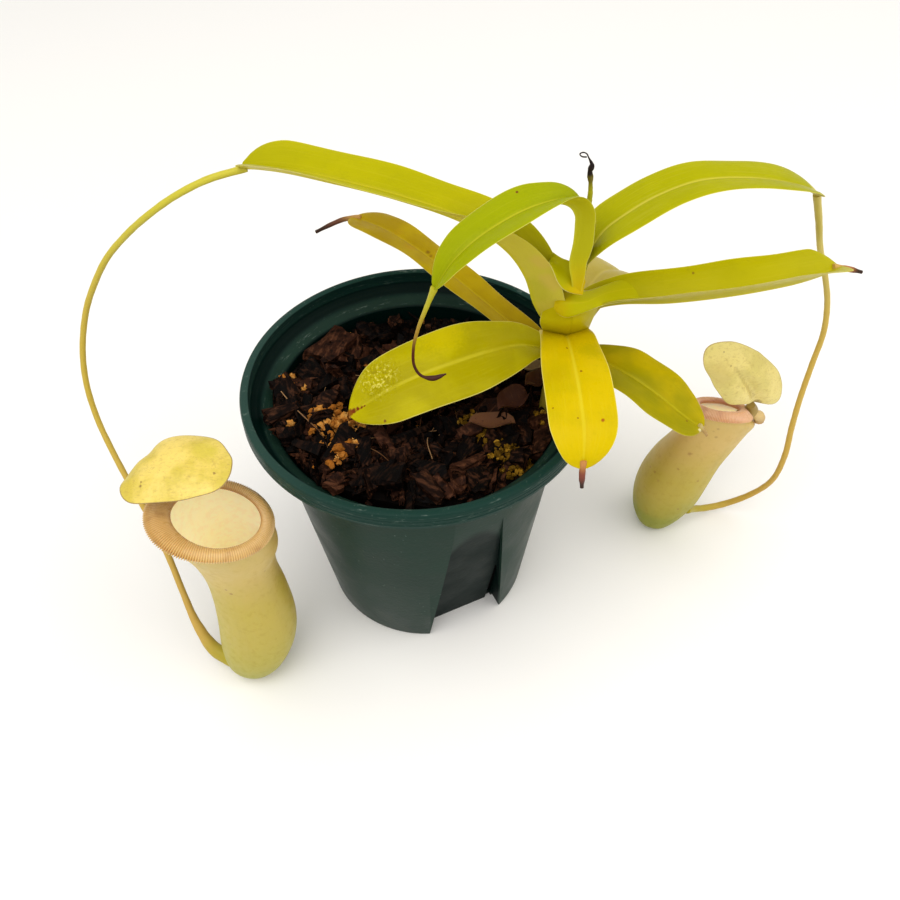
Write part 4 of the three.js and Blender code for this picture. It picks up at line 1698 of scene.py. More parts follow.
@dataclass
class Clasp:
    """A leaf base folded round the stem, laid through a net of pixels, each with a depth."""

    name: str
    slot: Slot
    net: Sequence[Sequence[Point]]
    skin: LeafSkin
    thickness: float = 0.6
    columns: int = 64
    rows: int = 48

    def sheet(self, points: np.ndarray, share: np.ndarray, across: np.ndarray) -> np.ndarray:
        """Gives points of the sheet's middle face.

        Args:
            points: The net, as rows of points in millimetres.
            share: The place along the sheet.
            across: The place from one margin, -1, to the other, 1.

        Returns:
            One point a row.
        """
        down = np.array([through(line, share) for line in np.eye(points.shape[0])])
        over = np.array([through(line, (across + 1) / 2) for line in np.eye(points.shape[1])])
        return np.einsum("rn,cn,rck->nk", down, over, points)

    def build(self, studio: Studio) -> None:
        """Models the leaf base.

        Args:
            studio: The camera that the net's pixels belong to.
        """
        points = np.array([[studio.deep((x, y), depth) for x, y, depth in line] for line in self.net])
        step = 0.02

        def shape(around: np.ndarray, along_share: np.ndarray) -> np.ndarray:
            """Lays a grid over the front of the net and back behind it."""
            share, is_open = open_rows(along_share, self.rows)
            across = np.where(is_open, 1 - np.abs(4 * around - 2), 0.0)
            run = self.sheet(points, np.minimum(share + step, 1), across)
            run -= self.sheet(points, np.maximum(share - step, 0), across)
            side = self.sheet(points, share, np.minimum(across + step, 1))
            side -= self.sheet(points, share, np.maximum(across - step, -1))
            swell = (1 - across**8) * self.thickness / 2 * is_open
            lift = np.where(around < 0.5, swell, -swell)[:, None]
            return self.sheet(points, share, across) + unit(np.cross(side, run)) * lift

        sheet = wrap(self.name, self.columns, self.rows, shape)
        keep(sheet, self.slot, self.skin.make(f"{self.name}_skin", sheet, (), studio), crease=55)


@dataclass
class Tendril:
    """The run-out of a midrib: a thin stalk that may end in a pitcher."""

    name: str
    path: Sequence[Point]
    radii: Stations
    skin: StalkSkin
    rows: int = 240
    sides: int = 16

    def build(self, studio: Studio) -> None:
        """Models the tendril.

        Args:
            studio: The camera, which finds nothing here.
        """
        body = stalk(f"{self.name}_stalk", Path(self.path), self.radii, self.sides, self.rows, 0.03)
        keep(body, Slot.TENDRIL, self.skin.make(f"{self.name}_skin"), self.name)


# Pitchers


@dataclass
class Pitcher:
    """A pitcher: cup, ribbed lip, lid, neck and spur."""

    side: str
    axis: Sequence[Point]
    long: Stations
    short: Stations
    mouth_long: Point
    mouth_short: Point
    lip_long: float
    lip_short: float
    lip_width: float
    lip_drop: float
    ribs: int
    lid_centre: Point
    lid_length: Point
    lid_width: Point
    lid_half_length: float
    lid_half_width: float
    dome: float
    crease: float
    neck: Sequence[Point]
    spur: Sequence[Point]
    cup_skin: CupSkin
    lip_skin: LipSkin
    lid_skin: LidSkin
    lid_outline: Stations
    lip_gap: float
    lip_hinge: float
    cup_marks: Sequence[Mark] = ()
    lid_marks: Sequence[Mark] = ()
    crease_slope: float = 0.0
    crease_top: float = 2.0
    neck_radii: Stations = (1.5, 1.3, 1.2)
    spur_radii: Stations = (1.1, 1.0, 0.7)
    wall: float = 0.8
    columns: int = 96
    rows: int = 150
    inner_start: float = 0.28
    lip_droop: float = 0.9
    hinge_turn: float = 180.0
    teeth: float = 0.28

    def cup_shape(self, around: np.ndarray, along_share: np.ndarray) -> np.ndarray:
        """Lays a grid up the cup's outer face and down its inner one."""
        path = Path(self.axis)
        share, is_open = open_rows(along_share, self.rows)
        outside = share <= OUTER_SHARE
        up = share / OUTER_SHARE
        down = 1 - (share - OUTER_SHARE) / (1 - OUTER_SHARE) * (1 - self.inner_start)
        station = np.clip(np.where(outside, up, down), 0, 1)
        inset = np.where(outside, 0.0, self.wall)
        tilt = blend(0.25, 1.0, station)[:, None]
        long_way = unit(np.array([1.0, 0, 0]) * (1 - tilt) + np.array(self.mouth_long) * tilt)
        short_way = unit(np.array([0, -1.0, 0]) * (1 - tilt) + np.array(self.mouth_short) * tilt)
        turn = around * FULL_TURN
        ridge = 0.05 * np.cos(turn * 5 + 1) * blend(0.05, 0.3, station) * outside
        long = (through(self.long, station) - inset + ridge) * is_open
        short = (through(self.short, station) - inset + ridge) * is_open
        up = unit(np.cross(np.array(self.mouth_short), np.array(self.mouth_long)))
        collar = self.lip_gap * blend(0.94, 1.0, station)
        return (
            path.by_station(station)
            + long_way * (long * np.cos(turn))[:, None]
            - short_way * (short * np.sin(turn))[:, None]
            + up * collar[:, None]
        )

    def lip_shape(self, around: np.ndarray, along_share: np.ndarray) -> np.ndarray:
        """Lays a grid round the lip's section, all round the mouth."""
        long_way = unit(np.array(self.mouth_long))
        short_way = unit(np.array(self.mouth_short))
        up = unit(np.cross(short_way, long_way))
        turn = along_share * FULL_TURN
        bend = around * FULL_TURN
        out = unit(
            long_way * (np.cos(turn) / self.lip_long)[:, None]
            - short_way * (np.sin(turn) / self.lip_short)[:, None]
        )
        middle = (
            np.array(self.axis[-1])
            + long_way * (self.lip_long * np.cos(turn))[:, None]
            - short_way * (self.lip_short * np.sin(turn))[:, None]
            + up * (self.lip_drop + self.lip_gap)
        )
        crest = np.cos(turn * self.ribs)
        outward = np.cos(bend)
        hinge = blend(-0.2, 1.0, np.cos(turn - math.radians(self.hinge_turn)))
        width = self.lip_width + (self.lip_hinge - self.lip_width) * hinge
        teeth = self.teeth * blend(0.55, 1.0, outward) * crest * (0.5 + 1.3 * hinge)
        reach = (width + 0.04 * crest) * outward + teeth
        droop = self.lip_droop * np.clip(outward, 0, 1) ** 1.5
        rise = (self.lip_drop + (0.08 + 0.12 * hinge) * crest) * np.sin(bend) - droop
        return middle + out * reach[:, None] + up * rise[:, None]

    def lid_frame(self) -> tuple[np.ndarray, np.ndarray, np.ndarray]:
        """Gives the lid's lengthways, widthways and upward directions."""
        length_way = unit(np.array(self.lid_length))
        width_way = unit(np.array(self.lid_width))
        up = unit(np.cross(length_way, width_way))
        return length_way, width_way, up if up[2] > 0 else -up

    def lid_shape(self, around: np.ndarray, along_share: np.ndarray) -> np.ndarray:
        """Lays a grid from the lid's middle over its top to the edge, and back below."""
        length_way, width_way, up = self.lid_frame()
        turn = around * FULL_TURN
        share = 1 - np.abs(2 * along_share - 1)
        share = np.sin(share * np.pi / 2) * 0.4 + share * 0.6
        outline = through([*self.lid_outline, self.lid_outline[0]], around)
        x = share * outline * np.cos(turn)
        y = share * outline * np.sin(turn)
        swell = 0.42 * (1 - share**8)
        lift = np.where(along_share < 0.5, swell, -swell)
        wrinkle = 0.22 * np.sin(turn * 7 + 1) * share**3
        off_crease = (y + self.crease_slope * x) ** 2 / (1 + self.crease_slope**2)
        crease = self.crease * np.exp(-off_crease * 30) * blend(self.crease_top, self.crease_top - 0.5, x)
        height = self.dome * (1 - share * share) - crease + lift + wrinkle
        return (
            np.array(self.lid_centre)
            + length_way * (self.lid_half_length * x)[:, None]
            + width_way * (self.lid_half_width * y)[:, None]
            + up * height[:, None]
        )

    def build(self, studio: Studio) -> None:
        """Models the pitcher.

        Args:
            studio: The camera, which finds its marks.
        """
        name = f"pitcher_{self.side}"
        cup = wrap(f"{name}_cup_wall", self.columns, self.rows, self.cup_shape)
        lip = wrap(f"{name}_lip_ring", 20, self.ribs * 6, self.lip_shape)
        lid = wrap(f"{name}_lid_plate", 96, 48, self.lid_shape)
        neck = stalk(f"{name}_neck", Path(self.neck), self.neck_radii, 14, 16)
        spur = stalk(f"{name}_spur", Path(self.spur), self.spur_radii, 12, 16)
        bpy.context.view_layer.update()
        cup_finish = self.cup_skin.make(f"{name}_cup_skin", cup, self.cup_marks, studio)
        keep(cup, Slot.CUP, cup_finish, f"{name}_cup")
        keep(lip, Slot.LIP, self.lip_skin.make(f"{name}_lip_skin", self.ribs), f"{name}_lip")
        lid_finish = self.lid_skin.make(f"{name}_lid_skin", lid, self.lid_marks, studio)
        keep(lid, Slot.LID, lid_finish, f"{name}_lid")
        tan = StalkSkin(((0.5, 0.36, 0.12), (0.3, 0.2, 0.04)), (0.2, 0.9), fleck_share=0.4)
        keep(neck, Slot.LID, tan.make(neck.name))
        brown = StalkSkin(((0.68, 0.5, 0.22), (0.42, 0.25, 0.09)), (0.35, 1.0), fleck_share=0.6)
        keep(spur, Slot.LID, brown.make(spur.name))


# The plant's own sizes and colours

BROWN: Colour = (0.16, 0.05, 0.01)
DARK: Colour = (0.03, 0.012, 0.006)
# Brown painted shade along the fold of a lid.
FOLD_SHADE: Colour = (0.32, 0.21, 0.04)
SCORCH: Colour = (0.17, 0.03, 0.003)
SPECK: Colour = (0.2, 0.05, 0.004)
TAN: Colour = (0.66, 0.46, 0.1)


LEAVES = [
    Leaf(
        "leaf_1", Slot.LEAF,
        rib=[
            (40, 2.4, 104.8), (37.2, 0, 110.4), (34.4, -2, 117.4), (31.4, -2.4, 127.4), (25.6, -3.4, 137.4),
            (15.4, -3, 145.8), (-2, 2.2, 150.8), (-26.6, 11.7, 153), (-36.7, 16.8, 151.8),
            (-42.4, 19.6, 150.6),
        ],
        heading=163, half=(8.4, 9.4, 9.2, 9.2, 9.2, 9.4, 9.6, 9.8, 9.8),
        fold=(70, 72, 70, 52, 31, 30, 30, 32, 34),
        # The underside and base colours are the leaf's own paler underside, lightened further as painted
        # light where the near half faces down.
        skin=LeafSkin(
            (0.4, 0.37, 0.0005), (0.34, 0.32, 0.0005), (0.66, 0.57, 0.07),
            base=(0.62, 0.53, 0.06), base_reach=0.3,
        ),
        roll=(-4, -6, -9, -11, -8, -7, -7, -8, -9),
        marks=(
            Mark((541, 262), 4.2, TAN, 0.3, 0.5),
            Mark((549, 282), 4.2, TAN, 0.3, 0.5),
            Mark((535, 290), 6.0, (0.46, 0.44, 0.02), 0.3, 0.5),
        ),
        tip_share=0.1, wave=0.25, phase=0.6,
    ),
    Leaf(
        "leaf_2", Slot.YOUNG_LEAF,
        rib=[
            (44, -7.2, 124.5), (43.2, -7, 129.1), (42.4, -6.2, 133.7), (43.1, -5.4, 139.6),
            (43.2, -5, 144.5), (42.9, -5.2, 147.9), (41.3, -5.8, 151), (38.2, -7.2, 153.4),
            (33.4, -10, 154.6), (26.4, -13.7, 154.6), (16.5, -18.7, 151.8), (10.3, -21, 147.2),
            (5.6, -22.2, 140.4),
        ],
        heading=207, half=(1.4, 3.4, 4.8, 4.6, 4.4, 5.6, 7.2, 7.8, 7.6, 6.8, 5.6, 4.6),
        fold=(62, 62, 62, 60, 48, 34, 26, 20, 18, 20, 24, 26),
        skin=LeafSkin(
            (0.29, 0.325, 0.0005), (0.25, 0.28, 0.0005), (0.46, 0.42, 0.008),
            rib=(0.46, 0.44, 0.02), margin=(0.6, 0.56, 0.12), base=(0.56, 0.4, 0.001), base_reach=0.2,
            mottle=0.4, roughness=0.4,
        ),
        roll=(0, 0, 0, 0, 0, -2, -4, -4, -4, -4, -2, 0),
        marks=(Mark((517, 192), 0.5, BROWN),),
        tip_share=0.2, wave=0.2, phase=2.1,
    ),
    Leaf(
        "leaf_3", Slot.OLD_LEAF,
        rib=[
            (40.6, 1.8, 91), (36, 7, 94.4), (30.6, 12, 96.8), (22.7, 19.5, 100.2), (12.8, 30.2, 103.5),
            (1.1, 43.8, 105.5), (-7.2, 53.1, 105.5), (-17.2, 63.6, 103.6),
        ],
        heading=135, half=(3.6, 5.4, 6.4, 6.8, 7.0, 7.4, 7.4), fold=(30, 20, 14, 12, 12, 12, 12),
        skin=LeafSkin(
            (0.37, 0.26, 0.0005), (0.29, 0.19, 0.0005), (0.44, 0.32, 0.02), mottle=0.9,
            margin=(0.54, 0.43, 0.1), rib=(0.41, 0.3, 0.01),
        ),
        roll=(0, -4, -8, -10, -10, -8, -4),
        marks=(
            Mark((428, 252), 1.0, (0.16, 0.07, 0.005), 0.6, 0.8),
            Mark((431, 256), 0.8, (0.2, 0.1, 0.005), 0.6, 0.7),
            Mark((398, 232), 2.6, (0.34, 0.2, 0.002), 0.8, 0.5),
            Mark((410, 247), 3.0, (0.36, 0.2, 0.002), 0.8, 0.5),
        ),
        tip_share=0.1,
        tip=Tip(
            ((-15, 62.0, 104.2), (-20.4, 63.8, 102.8), (-24.9, 64, 101), (-30.6, 64.3, 98)),
            (1.0, 0.85, 0.75, 0.6),
            ((0.4, 0.22, 0.05), (0.12, 0.04, 0.02), DARK),
        ),
        phase=4.0,
    ),
    Leaf(
        "leaf_4", Slot.LEAF,
        rib=[
            (39.1, 1.4, 97), (30.5, 0.2, 100), (21.5, -2.7, 101), (11.2, -5.9, 100.5),
            (1, -8.3, 98.5), (-9.3, -10.7, 95), (-19.8, -13.1, 89.2),
        ],
        heading=193, half=(4.6, 8.6, 10.8, 11.4, 11.2, 10.0, 8.4), fold=(26, 12, 6, 5, 5, 6, 6),
        skin=LeafSkin(
            (0.46, 0.4, 0.0005), (0.35, 0.3, 0.0005), (0.48, 0.4, 0.03), mottle=0.9,
            blister=Mark((378, 378), 7.4, (0.26, 0.21, 0.001), 0.5), roughness=0.3,
        ),
        roll=(6, 14, 20, 22, 22, 20, 14),
        marks=(
            Mark((350, 413), 1.7, (0.2, 0.035, 0.003), 0.5, 0.9),
            Mark((354, 411), 1.2, SCORCH, 0.5),
            Mark((358, 409), 0.9, SCORCH, 0.5),
            Mark((361.5, 407.5), 0.7, SCORCH, 0.5),
            Mark((364.5, 406), 0.5, SCORCH, 0.5),
            Mark((385, 421), 0.6, BROWN, 0.5, 0.9),
            Mark((440, 333), 9.0, (0.56, 0.46, 0.001), 0.6, 0.6),
            Mark((500, 345), 6.0, (0.4, 0.33, 0.0005), 0.7, 0.5),
        ),
        tip_share=0.22, wave=0.45, waves=2.4,
    ),
    Leaf(
        "leaf_5", Slot.BRIGHT_LEAF,
        rib=[
            (43.2, 0.8, 103), (43, -6.2, 107), (42.7, -20.5, 109.2), (42.4, -32.3, 109),
            (42.1, -40.6, 106.5), (41.6, -45.4, 102.6), (41.4, -47.1, 99),
        ],
        heading=269, half=(7.4, 7.9, 8.8, 9.2, 9.2, 8.8, 8.0), fold=(16, 10, 6, 5, 5, 6, 6),
        skin=LeafSkin(
            (0.6, 0.44, 0.0005), (0.47, 0.37, 0.0005), (0.54, 0.42, 0.02), mottle=0.75,
            rib=(0.66, 0.54, 0.02), margin=(0.74, 0.62, 0.14), roughness=0.32,
        ),
        marks=(
            Mark((567, 348), 0.45, SPECK, 0.5, 0.85),
            Mark((581, 371), 0.5, SPECK, 0.5, 0.85),
            Mark((578, 418), 0.35, SPECK, 0.5, 0.8),
            Mark((603, 420), 0.7, (0.34, 0.07, 0.006), 0.5, 0.9),
            Mark((553, 408), 0.35, SPECK, 0.5, 0.8),
            Mark((590, 350), 5.0, (0.4, 0.33, 0.001), 0.7, 0.5),
            Mark((556, 375), 4.0, (0.5, 0.36, 0.001), 0.7, 0.5),
        ),
        tip=Tip(
            ((41.5, -46.0, 101), (41.3, -47.8, 96.6), (41.4, -48.6, 93)),
            (1.0, 0.9, 0.8, 0.5),
            ((0.5, 0.22, 0.06), (0.2, 0.05, 0.03), DARK),
        ),
        tip_share=0.24, wave=0.3, phase=1.2,
    ),
    Leaf(
        "leaf_6", Slot.LEAF,
        rib=[
            (46.8, 1.2, 93), (54, -3.6, 95.4), (61.4, -11.6, 96), (68.4, -17.2, 93.4),
            (75, -22.4, 90), (80.2, -25.1, 87.2),
        ],
        heading=318, half=(4.0, 6.6, 8.8, 9.6, 9.4, 8.2, 6.2), fold=(24, 20, 18, 18, 16, 14, 12),
        skin=LeafSkin(
            (0.44, 0.335, 0.0005), (0.26, 0.235, 0.0005), (0.38, 0.34, 0.02), mottle=0.9,
            rib=(0.44, 0.38, 0.01), margin=(0.48, 0.42, 0.06),
        ),
        marks=(Mark((700, 430), 0.8, (0.75, 0.68, 0.4), 0.5, 0.9), Mark((687, 421), 0.5, BROWN, 0.5, 0.8)),
        tip=Tip(
            ((79.2, -24.7, 88.2), (80.9, -25.3, 86), (81.9, -25.4, 84.3)),
            (0.7, 0.6, 0.4),
            ((0.5, 0.4, 0.15), (0.4, 0.25, 0.08)),
        ),
        phase=3.0,
    ),
    Leaf(
        "leaf_7", Slot.LEAF,
        rib=[
            (48, 3.2, 107), (51.8, 3, 110.4), (58.3, 0.5, 114), (71, -3.4, 116.8), (87.9, -5.4, 119.8),
            (103.5, -3.4, 120.6), (115.2, 1, 119.5), (120.5, 4.8, 118.5),
        ],
        heading=358, half=(6.0, 8.0, 9.7, 10.2, 10.0, 9.2, 8.0), fold=(46, 44, 44, 44, 43, 40, 30),
        skin=LeafSkin(
            (0.44, 0.4, 0.0005), (0.38, 0.35, 0.0005), (0.46, 0.4, 0.04),
            base=(0.46, 0.38, 0.02), base_reach=0.14,
        ),
        roll=(0, 4, 8, 9, 10, 11, 8),
        marks=(Mark((693, 273), 0.5, BROWN, 0.6, 0.8),),
        tip_share=0.1, wave=0.2,
        tip=Tip(
            ((118.4, 3.6, 119.3), (123.6, 4.2, 117.8), (127.6, 4, 116.6)),
            (1.0, 0.9, 0.8, 0.5),
            ((0.55, 0.35, 0.08), (0.4, 0.14, 0.04), DARK),
        ),
        phase=5.0,
    ),
    Leaf(
        "leaf_8", Slot.LEAF,
        rib=[
            (46.8, 1.4, 126.5), (49, 1.6, 132.5), (51.9, 2.2, 137), (56.8, 2.8, 141), (64.4, 3.5, 145.6),
            (75.4, 4, 149.3), (88.6, 4.5, 149), (98.6, 5.5, 146.6), (105.6, 7.2, 143.4), (110.4, 9, 139.8),
        ],
        heading=6, half=(6.4, 8.2, 8.3, 8.0, 7.8, 7.6, 7.2, 5.4), fold=(26, 16, 10, 12, 12, 14, 16, 16),
        skin=LeafSkin(
            (0.37, 0.36, 0.0005), (0.31, 0.31, 0.0005), (0.46, 0.4, 0.04),
            rib=(0.56, 0.5, 0.06), base=(0.5, 0.4, 0.01), base_reach=0.16,
            tip=(0.62, 0.54, 0.2), tip_reach=0.05,
        ),
        roll=(6, 0, -4, 0, 2, 4, 6, 6), tip_share=0.12, wave=0.2, phase=0.9,
    ),
    Leaf(
        "leaf_9", Slot.PALE_LEAF,
        rib=[
            (44.6, 3.4, 99), (48, 9, 103), (52.6, 17, 105.8), (58.4, 24.4, 105.8), (65, 30.6, 101),
            (70.4, 35, 92.6),
        ],
        heading=45, half=(4.4, 6.8, 8.4, 8.6, 7.8, 6.8, 5.6), fold=(30, 20, 14, 12, 12, 12, 12),
        skin=LeafSkin(
            (0.46, 0.37, 0.08), (0.4, 0.31, 0.04), (0.5, 0.42, 0.12),
            rib=(0.52, 0.42, 0.1), margin=(0.66, 0.56, 0.24),
        ),
        phase=2.6,
    ),
]

CLASPS = [
    Clasp(
        "leaf_1_clasp", Slot.LEAF,
        [
            [(549, 263, -6.6), (550, 259, -1), (553, 252, -0.2)],
            [(553, 271, -6.8), (557, 264, -3.2), (561, 257.5, -1.4)],
            [(557, 281, -7.4), (564, 272, -5), (570, 261, -2.8)],
            [(563, 289, -8.2), (570, 279, -6.2), (577, 264, -4)],
            [(571, 293, -8.4), (577, 284, -6.6), (583, 272, -4.5)],
            [(582, 295, -7), (583, 288, -6), (585, 280, -4.5)],
        ],
        LeafSkin(
            (0.42, 0.39, 0.0005), (0.36, 0.34, 0.0005), (0.42, 0.39, 0.0005),
            rib=(0.4, 0.37, 0.0005), base=(0.36, 0.36, 0.0005), tip=(0.56, 0.4, 0.001), tip_reach=0.4,
            margin=(0.8, 0.74, 0.3),
        ),
    ),
    Clasp(
        "leaf_7_clasp", Slot.LEAF,
        [
            [(652, 275.5, 5.6), (652, 287, 2.2), (652, 300, -0.8)],
            [(630, 277, 5.6), (630, 289, 1.8), (629, 301, -1.6)],
            [(607, 284, 4.2), (605, 294, 0), (603, 305.5, -3.4)],
            [(590, 290, 0.5), (586, 302, -5), (582, 313.5, -7)],
            [(577, 291, -3), (570, 303, -6.8), (567, 317.5, -8)],
            [(565, 292, -3), (561, 303, -6.4), (558, 314, -7.2)],
            [(557, 299, -4), (555, 304, -5.6), (554.5, 309, -6.2)],
        ],
        LeafSkin(
            (0.46, 0.42, 0.0005), (0.4, 0.37, 0.0005), (0.44, 0.41, 0.0005),
            rib=(0.5, 0.44, 0.005), base=(0.44, 0.4, 0.0005), tip=(0.54, 0.41, 0.002), tip_reach=0.35,
            margin=(0.8, 0.74, 0.3),
        ),
    ),
    Clasp(
        "stem_sheath", Slot.STEM,
        [
            [(544, 306, -1), (562, 305, -5.2), (583, 302, -4.5), (600, 300, 1)],
            [(541, 315, -1), (562, 315, -5.4), (581, 312, -4.5), (597, 310, 1)],
            [(540, 324, -1), (562, 326, -5), (579, 323, -4.5), (592, 321, 1)],
            [(545, 334, 3), (562, 338, 0), (576, 338, 0), (586, 335, 3)],
        ],
        LeafSkin(
            (0.54, 0.45, 0.003), (0.42, 0.38, 0.0008), (0.54, 0.45, 0.003),
            rib=(0.46, 0.39, 0.002), margin=(0.66, 0.56, 0.14), base=(0.56, 0.4, 0.004), mottle=0.9,
        ),
    ),
]

TENDRILS = [
    Tendril(
        "tendril_leaf_1",
        [
            (-41.0, 19.1, 150.6), (-51.5, 18.2, 148.4), (-61.2, 18.4, 143.8), (-70.5, 20.1, 137),
            (-78.6, 22.7, 129.5), (-86.6, 24.3, 121), (-93.4, 25.2, 111), (-98.8, 25.2, 101),
            (-103.2, 22.6, 88), (-104.6, 18.9, 77), (-103.6, 14.3, 66), (-100.6, 8.6, 58),
            (-96.2, 1.4, 50.2), (-90.1, -7.4, 40.2), (-85.2, -16.4, 31.4), (-81.3, -25.2, 22.8),
            (-77.7, -32.6, 14.8), (-72.4, -38.8, 8), (-65, -42.6, 6),
        ],
        (1.0, 0.95, 0.95, 0.95, 0.95, 0.95, 1.0, 1.05, 1.25, 2.8),
        StalkSkin(
            ((0.54, 0.48, 0.04), (0.52, 0.38, 0.05), (0.56, 0.36, 0.08), (0.4, 0.33, 0.03)),
            (0.1, 0.45, 0.9, 0.99), fleck_share=0.12,
        ),
    ),
    Tendril(
        "tendril_leaf_2",
        [
            (5.6, -22.3, 140.6), (3.4, -21.7, 134), (1.1, -20.7, 126.5), (-0.4, -19.4, 118.6),
            (-0.4, -19.2, 112.2), (1.2, -19.9, 109.4), (4.3, -20.7, 108.9), (7.9, -20.9, 110.4),
        ],
        (
            0.95, 0.8, 0.66, 0.62, 0.58, 0.54, 0.5, 0.48, 0.46, 0.44, 0.42, 0.4, 0.4, 0.4, 0.4, 0.4, 0.42,
            0.75, 0.6, 0.2,
        ),
        StalkSkin(
            ((0.46, 0.42, 0.02), (0.4, 0.24, 0.03), (0.09, 0.018, 0.008), (0.05, 0.01, 0.006)),
            (0.12, 0.4, 0.62, 0.8),
        ),
        rows=120,
    ),
    Tendril(
        "tendril_leaf_8",
        [
            (110.0, 9.0, 139.8), (113.7, 10.4, 130), (117, 11.5, 120.5), (121.8, 12.4, 109.5),
            (125.3, 12, 99), (126.4, 10.2, 89), (125.6, 8.8, 77), (124.8, 7.2, 63),
            (124.6, 5.6, 51), (125, 4.2, 37.5), (123.8, 4.6, 24.4), (119.2, 8, 12.4),
            (111.8, 10.4, 4.8), (104.4, 9, 5), (98.8, 6.6, 8), (95, 3, 12.2),
        ],
        (1.1, 0.9, 0.9, 0.9, 0.95, 1.0, 1.0, 1.2, 1.3),
        StalkSkin(
            ((0.58, 0.48, 0.12), (0.56, 0.38, 0.07), (0.54, 0.34, 0.06), (0.4, 0.33, 0.03)),
            (0.1, 0.4, 0.8, 0.99), fleck_share=0.12,
        ),
    ),
]

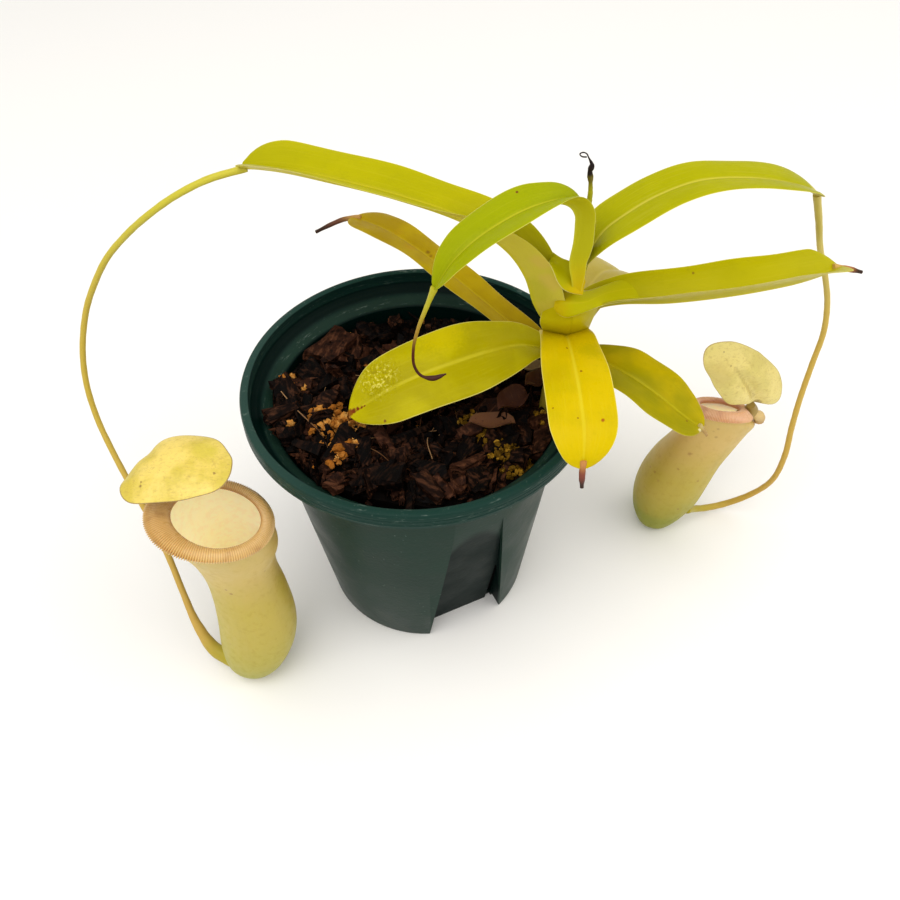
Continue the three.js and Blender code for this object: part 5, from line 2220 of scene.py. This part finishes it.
PITCHERS = [
    Pitcher(
        side="left",
        axis=[
            (-59.8, -41.4, 0), (-59.4, -41.1, 2), (-58.6, -40.6, 7), (-56.9, -39.2, 15), (-55.5, -38, 25),
            (-55.5, -36.8, 38), (-56.4, -36.2, 49), (-57, -36.8, 59), (-57.3, -38, 68),
            (-59, -39.2, 76.8),
        ],
        long=(3, 6.5, 9.8, 11.9, 12.3, 11.5, 11.0, 12.2, 14.8, 16.1),
        short=(3, 6.2, 9.4, 11.7, 12.2, 11.8, 11.0, 11.2, 12.4, 13.2), mouth_long=(0.96, 0.04, -0.28),
        mouth_short=(0.04, -1, 0), lip_long=14.9, lip_short=12.7, lip_width=2.0, lip_drop=1.0,
        lip_hinge=3.4, lip_gap=0.7, ribs=150, lid_centre=(-66.4, -32.6, 92.0),
        lid_length=(0.97, 0.02, 0.08), lid_width=(-0.05, -0.99, -0.08), lid_half_length=15.6,
        lid_half_width=11.6,
        lid_outline=(
            0.985, 1.05, 1.1, 0.97, 0.91, 0.965, 1.07, 1.02, 0.89, 0.81, 0.81, 1.0, 1.0, 0.98, 0.96, 0.935,
        ),
        dome=3.6, crease=0.3,
        neck=((-73.8, -39, 87.6), (-75, -38.6, 89.6), (-74.8, -37.4, 91.8)),
        spur=((-74.4, -38.4, 89.2), (-76.4, -37.4, 88.2), (-77.6, -36, 87)),
        cup_skin=CupSkin(
            (0.36, 0.34, 0.045), (0.42, 0.36, 0.06), (0.5, 0.39, 0.12),
            (0.93, 0.81, 0.58), heights=(8.0, 38.0, 66.0),
        ),
        lip_skin=LipSkin(
            (0.71, 0.47, 0.17), (0.55, 0.32, 0.1), (0.4, 0.19, 0.05), hinge_shade=0.15,
        ),
        lid_skin=LidSkin(
            (0.78, 0.6, 0.13), (0.6, 0.47, 0.05), (0.6, 0.48, 0.16),
            (0.25, 0.14, 0.04),
        ),
        cup_marks=(Mark((231, 594), 0.7, BROWN, 0.5, 0.6), Mark((226, 590), 0.5, BROWN, 0.5, 0.6)),
        lid_marks=(
            Mark((140, 486), 0.7, BROWN, 0.9, 0.8),
            Mark((141, 482), 0.45, BROWN, 0.9, 0.7),
            Mark((214, 473), 0.55, BROWN, 0.9, 0.7),
            Mark((207, 450), 5.0, (0.62, 0.52, 0.05), 0.6, 0.5),
        ),
    ),
    Pitcher(
        side="right",
        axis=[
            (85.6, 8.8, 0), (86, 9.4, 2), (87.2, 10.8, 7), (89, 11.8, 14), (90.6, 11.6, 23),
            (93.4, 11.2, 33), (96.7, 10, 42), (98.9, 8.2, 50), (100.1, 7, 55.4), (98.4, 6.2, 59.6),
        ],
        long=(3, 6.4, 9.6, 11.8, 12.3, 12.0, 11.7, 11.5, 11.8, 10.2),
        short=(3, 6.4, 9.6, 11.8, 12.2, 11.4, 10.4, 9.8, 9.4, 9.2), mouth_long=(0.975, 0.05, -0.22),
        mouth_short=(0.03, -0.88, 0.47), lip_long=8.8, lip_short=8.4, lip_width=1.9, lip_drop=1.0,
        lip_droop=2.0, lip_hinge=2.2, lip_gap=0.9, hinge_turn=20.0, ribs=120,
        lid_centre=(102.2, 4.6, 77.4), lid_length=(0.4, 0.43, 0.81), lid_width=(0.87, 0.1, -0.48),
        lid_half_length=10.4, lid_half_width=14.2,
        lid_outline=(
            0.85, 0.81, 0.87, 1.02, 1.21, 1.32, 1.02, 0.9, 0.95, 0.85, 0.83, 0.9, 1.18, 1.36, 1.2, 0.97,
        ),
        dome=3.0, crease=2.2, crease_slope=1.17, crease_top=0.35,
        neck=((107.6, 7.4, 55.6), (108.6, 5.8, 60), (107.4, 4.2, 64.6)),
        neck_radii=(3.0, 2.5, 1.3),
        spur=((109.6, 5.2, 59.6), (111.6, 4.6, 58.2), (111.8, 4.4, 56.4)),
        spur_radii=(1.5, 1.9, 1.7),
        cup_skin=CupSkin(
            (0.25, 0.26, 0.005), (0.4, 0.34, 0.04), (0.54, 0.39, 0.12),
            (0.95, 0.82, 0.62), heights=(4.0, 28.0, 54.0),
        ),
        lip_skin=LipSkin(
            (0.78, 0.47, 0.26), (0.6, 0.3, 0.15), (0.45, 0.17, 0.09), 0.055
        ),
        lid_skin=LidSkin(
            (0.74, 0.62, 0.2), (0.62, 0.52, 0.14), (0.66, 0.54, 0.22),
            (0.4, 0.26, 0.08),
        ),
        cup_marks=(
            Mark((655, 472), 0.8, BROWN, 0.8, 0.4),
            Mark((690, 454), 1.1, BROWN, 0.9, 0.45),
            Mark((678, 469), 0.7, BROWN, 0.8, 0.4),
            Mark((698, 481), 0.7, BROWN, 0.8, 0.4),
            Mark((678, 509), 0.8, BROWN, 0.8, 0.4),
        ),
        lid_marks=(
            Mark((731, 366), 0.5, BROWN, 0.5, 0.6),
            Mark((724, 352), 0.4, BROWN, 0.5, 0.5),
            # Painted shade along the lid's fold line.
            *(
                Mark((736 + 1.6 * step, 368 + 2.8 * step), 1.0 + 0.08 * step, FOLD_SHADE, 0.9, 0.3)
                for step in range(11)
            ),
            Mark((756, 402), 2.8, (0.2, 0.12, 0.02), 0.6, 0.8),
            # Painted shade darkening the lid's left lobe.
            Mark((718, 375), 7.0, (0.6, 0.47, 0.13), 0.5, 0.6),
        ),
    ),
]


@dataclass
class Shoot:
    """The stem and, at its top, the new leaf with the curled dark end of its tendril."""

    stem_path: Sequence[Point] = (
        (38.6, -4.2, 74), (39.8, -3.2, 84), (42.8, 0, 100), (45, 1.6, 118), (46.6, 0, 133),
        (47, -1.8, 143),
    )
    stem_radii: Stations = (2.3, 2.5, 2.6, 2.3, 1.9, 1.5)
    tip_path: Sequence[Point] = (
        (47, -1.6, 143), (46.2, -1, 147.2), (46.3, -0.6, 150.5), (46.1, -0.2, 153.9), (45.8, 0, 156.4),
        (46.1, 0, 158), (45.2, 0.2, 159.9), (44.6, 0.3, 161), (43.7, 0.3, 161.4), (42.9, 0.2, 161.1),
        (43.4, 0, 160.5), (44.6, -0.2, 160.4),
    )
    tip_radii: Stations = (
        1.1, 0.95, 0.85, 0.76, 0.72, 0.68, 0.64, 0.58, 0.56, 0.8, 0.62, 0.74, 0.4, 0.2, 0.17, 0.17, 0.17, 0.2,
    )

    def build(self, studio: Studio) -> None:
        """Models the stem and the new leaf.

        Args:
            studio: The camera, which finds nothing here.
        """
        stem = stalk("stem_stalk", Path(self.stem_path), self.stem_radii, 32, 90, 0.03)
        green = StalkSkin(((0.26, 0.2, 0.02), (0.44, 0.36, 0.005), (0.36, 0.33, 0.002)), (0.1, 0.4, 0.9))
        keep(stem, Slot.STEM, green.make("stem_skin"), "stem")
        tip = stalk("new_leaf_stalk", Path(self.tip_path), self.tip_radii, 16, 120, 0.05)
        black = StalkSkin(
            ((0.34, 0.32, 0.004), (0.14, 0.11, 0.01), (0.008, 0.003, 0.004)), (0.36, 0.52, 0.58)
        )
        keep(tip, Slot.YOUNG_TIP, black.make("new_leaf_skin"), "new_leaf")


def corners() -> list[list[float]]:
    """Gives the lowest and highest corner of what is shown."""
    return [list(corner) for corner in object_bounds()]


def main() -> None:
    """Loads the frame and builds the plant round it."""
    logging.basicConfig(level=logging.INFO, format="%(message)s")
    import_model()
    studio = Studio()
    studio.build()
    pot = Pot()
    for maker in (pot, Soil(pot), Shoot(), *LEAVES, *CLASPS, *TENDRILS, *PITCHERS):
        maker.build(studio)
    deselect()


if __name__ == "__main__":
    main()
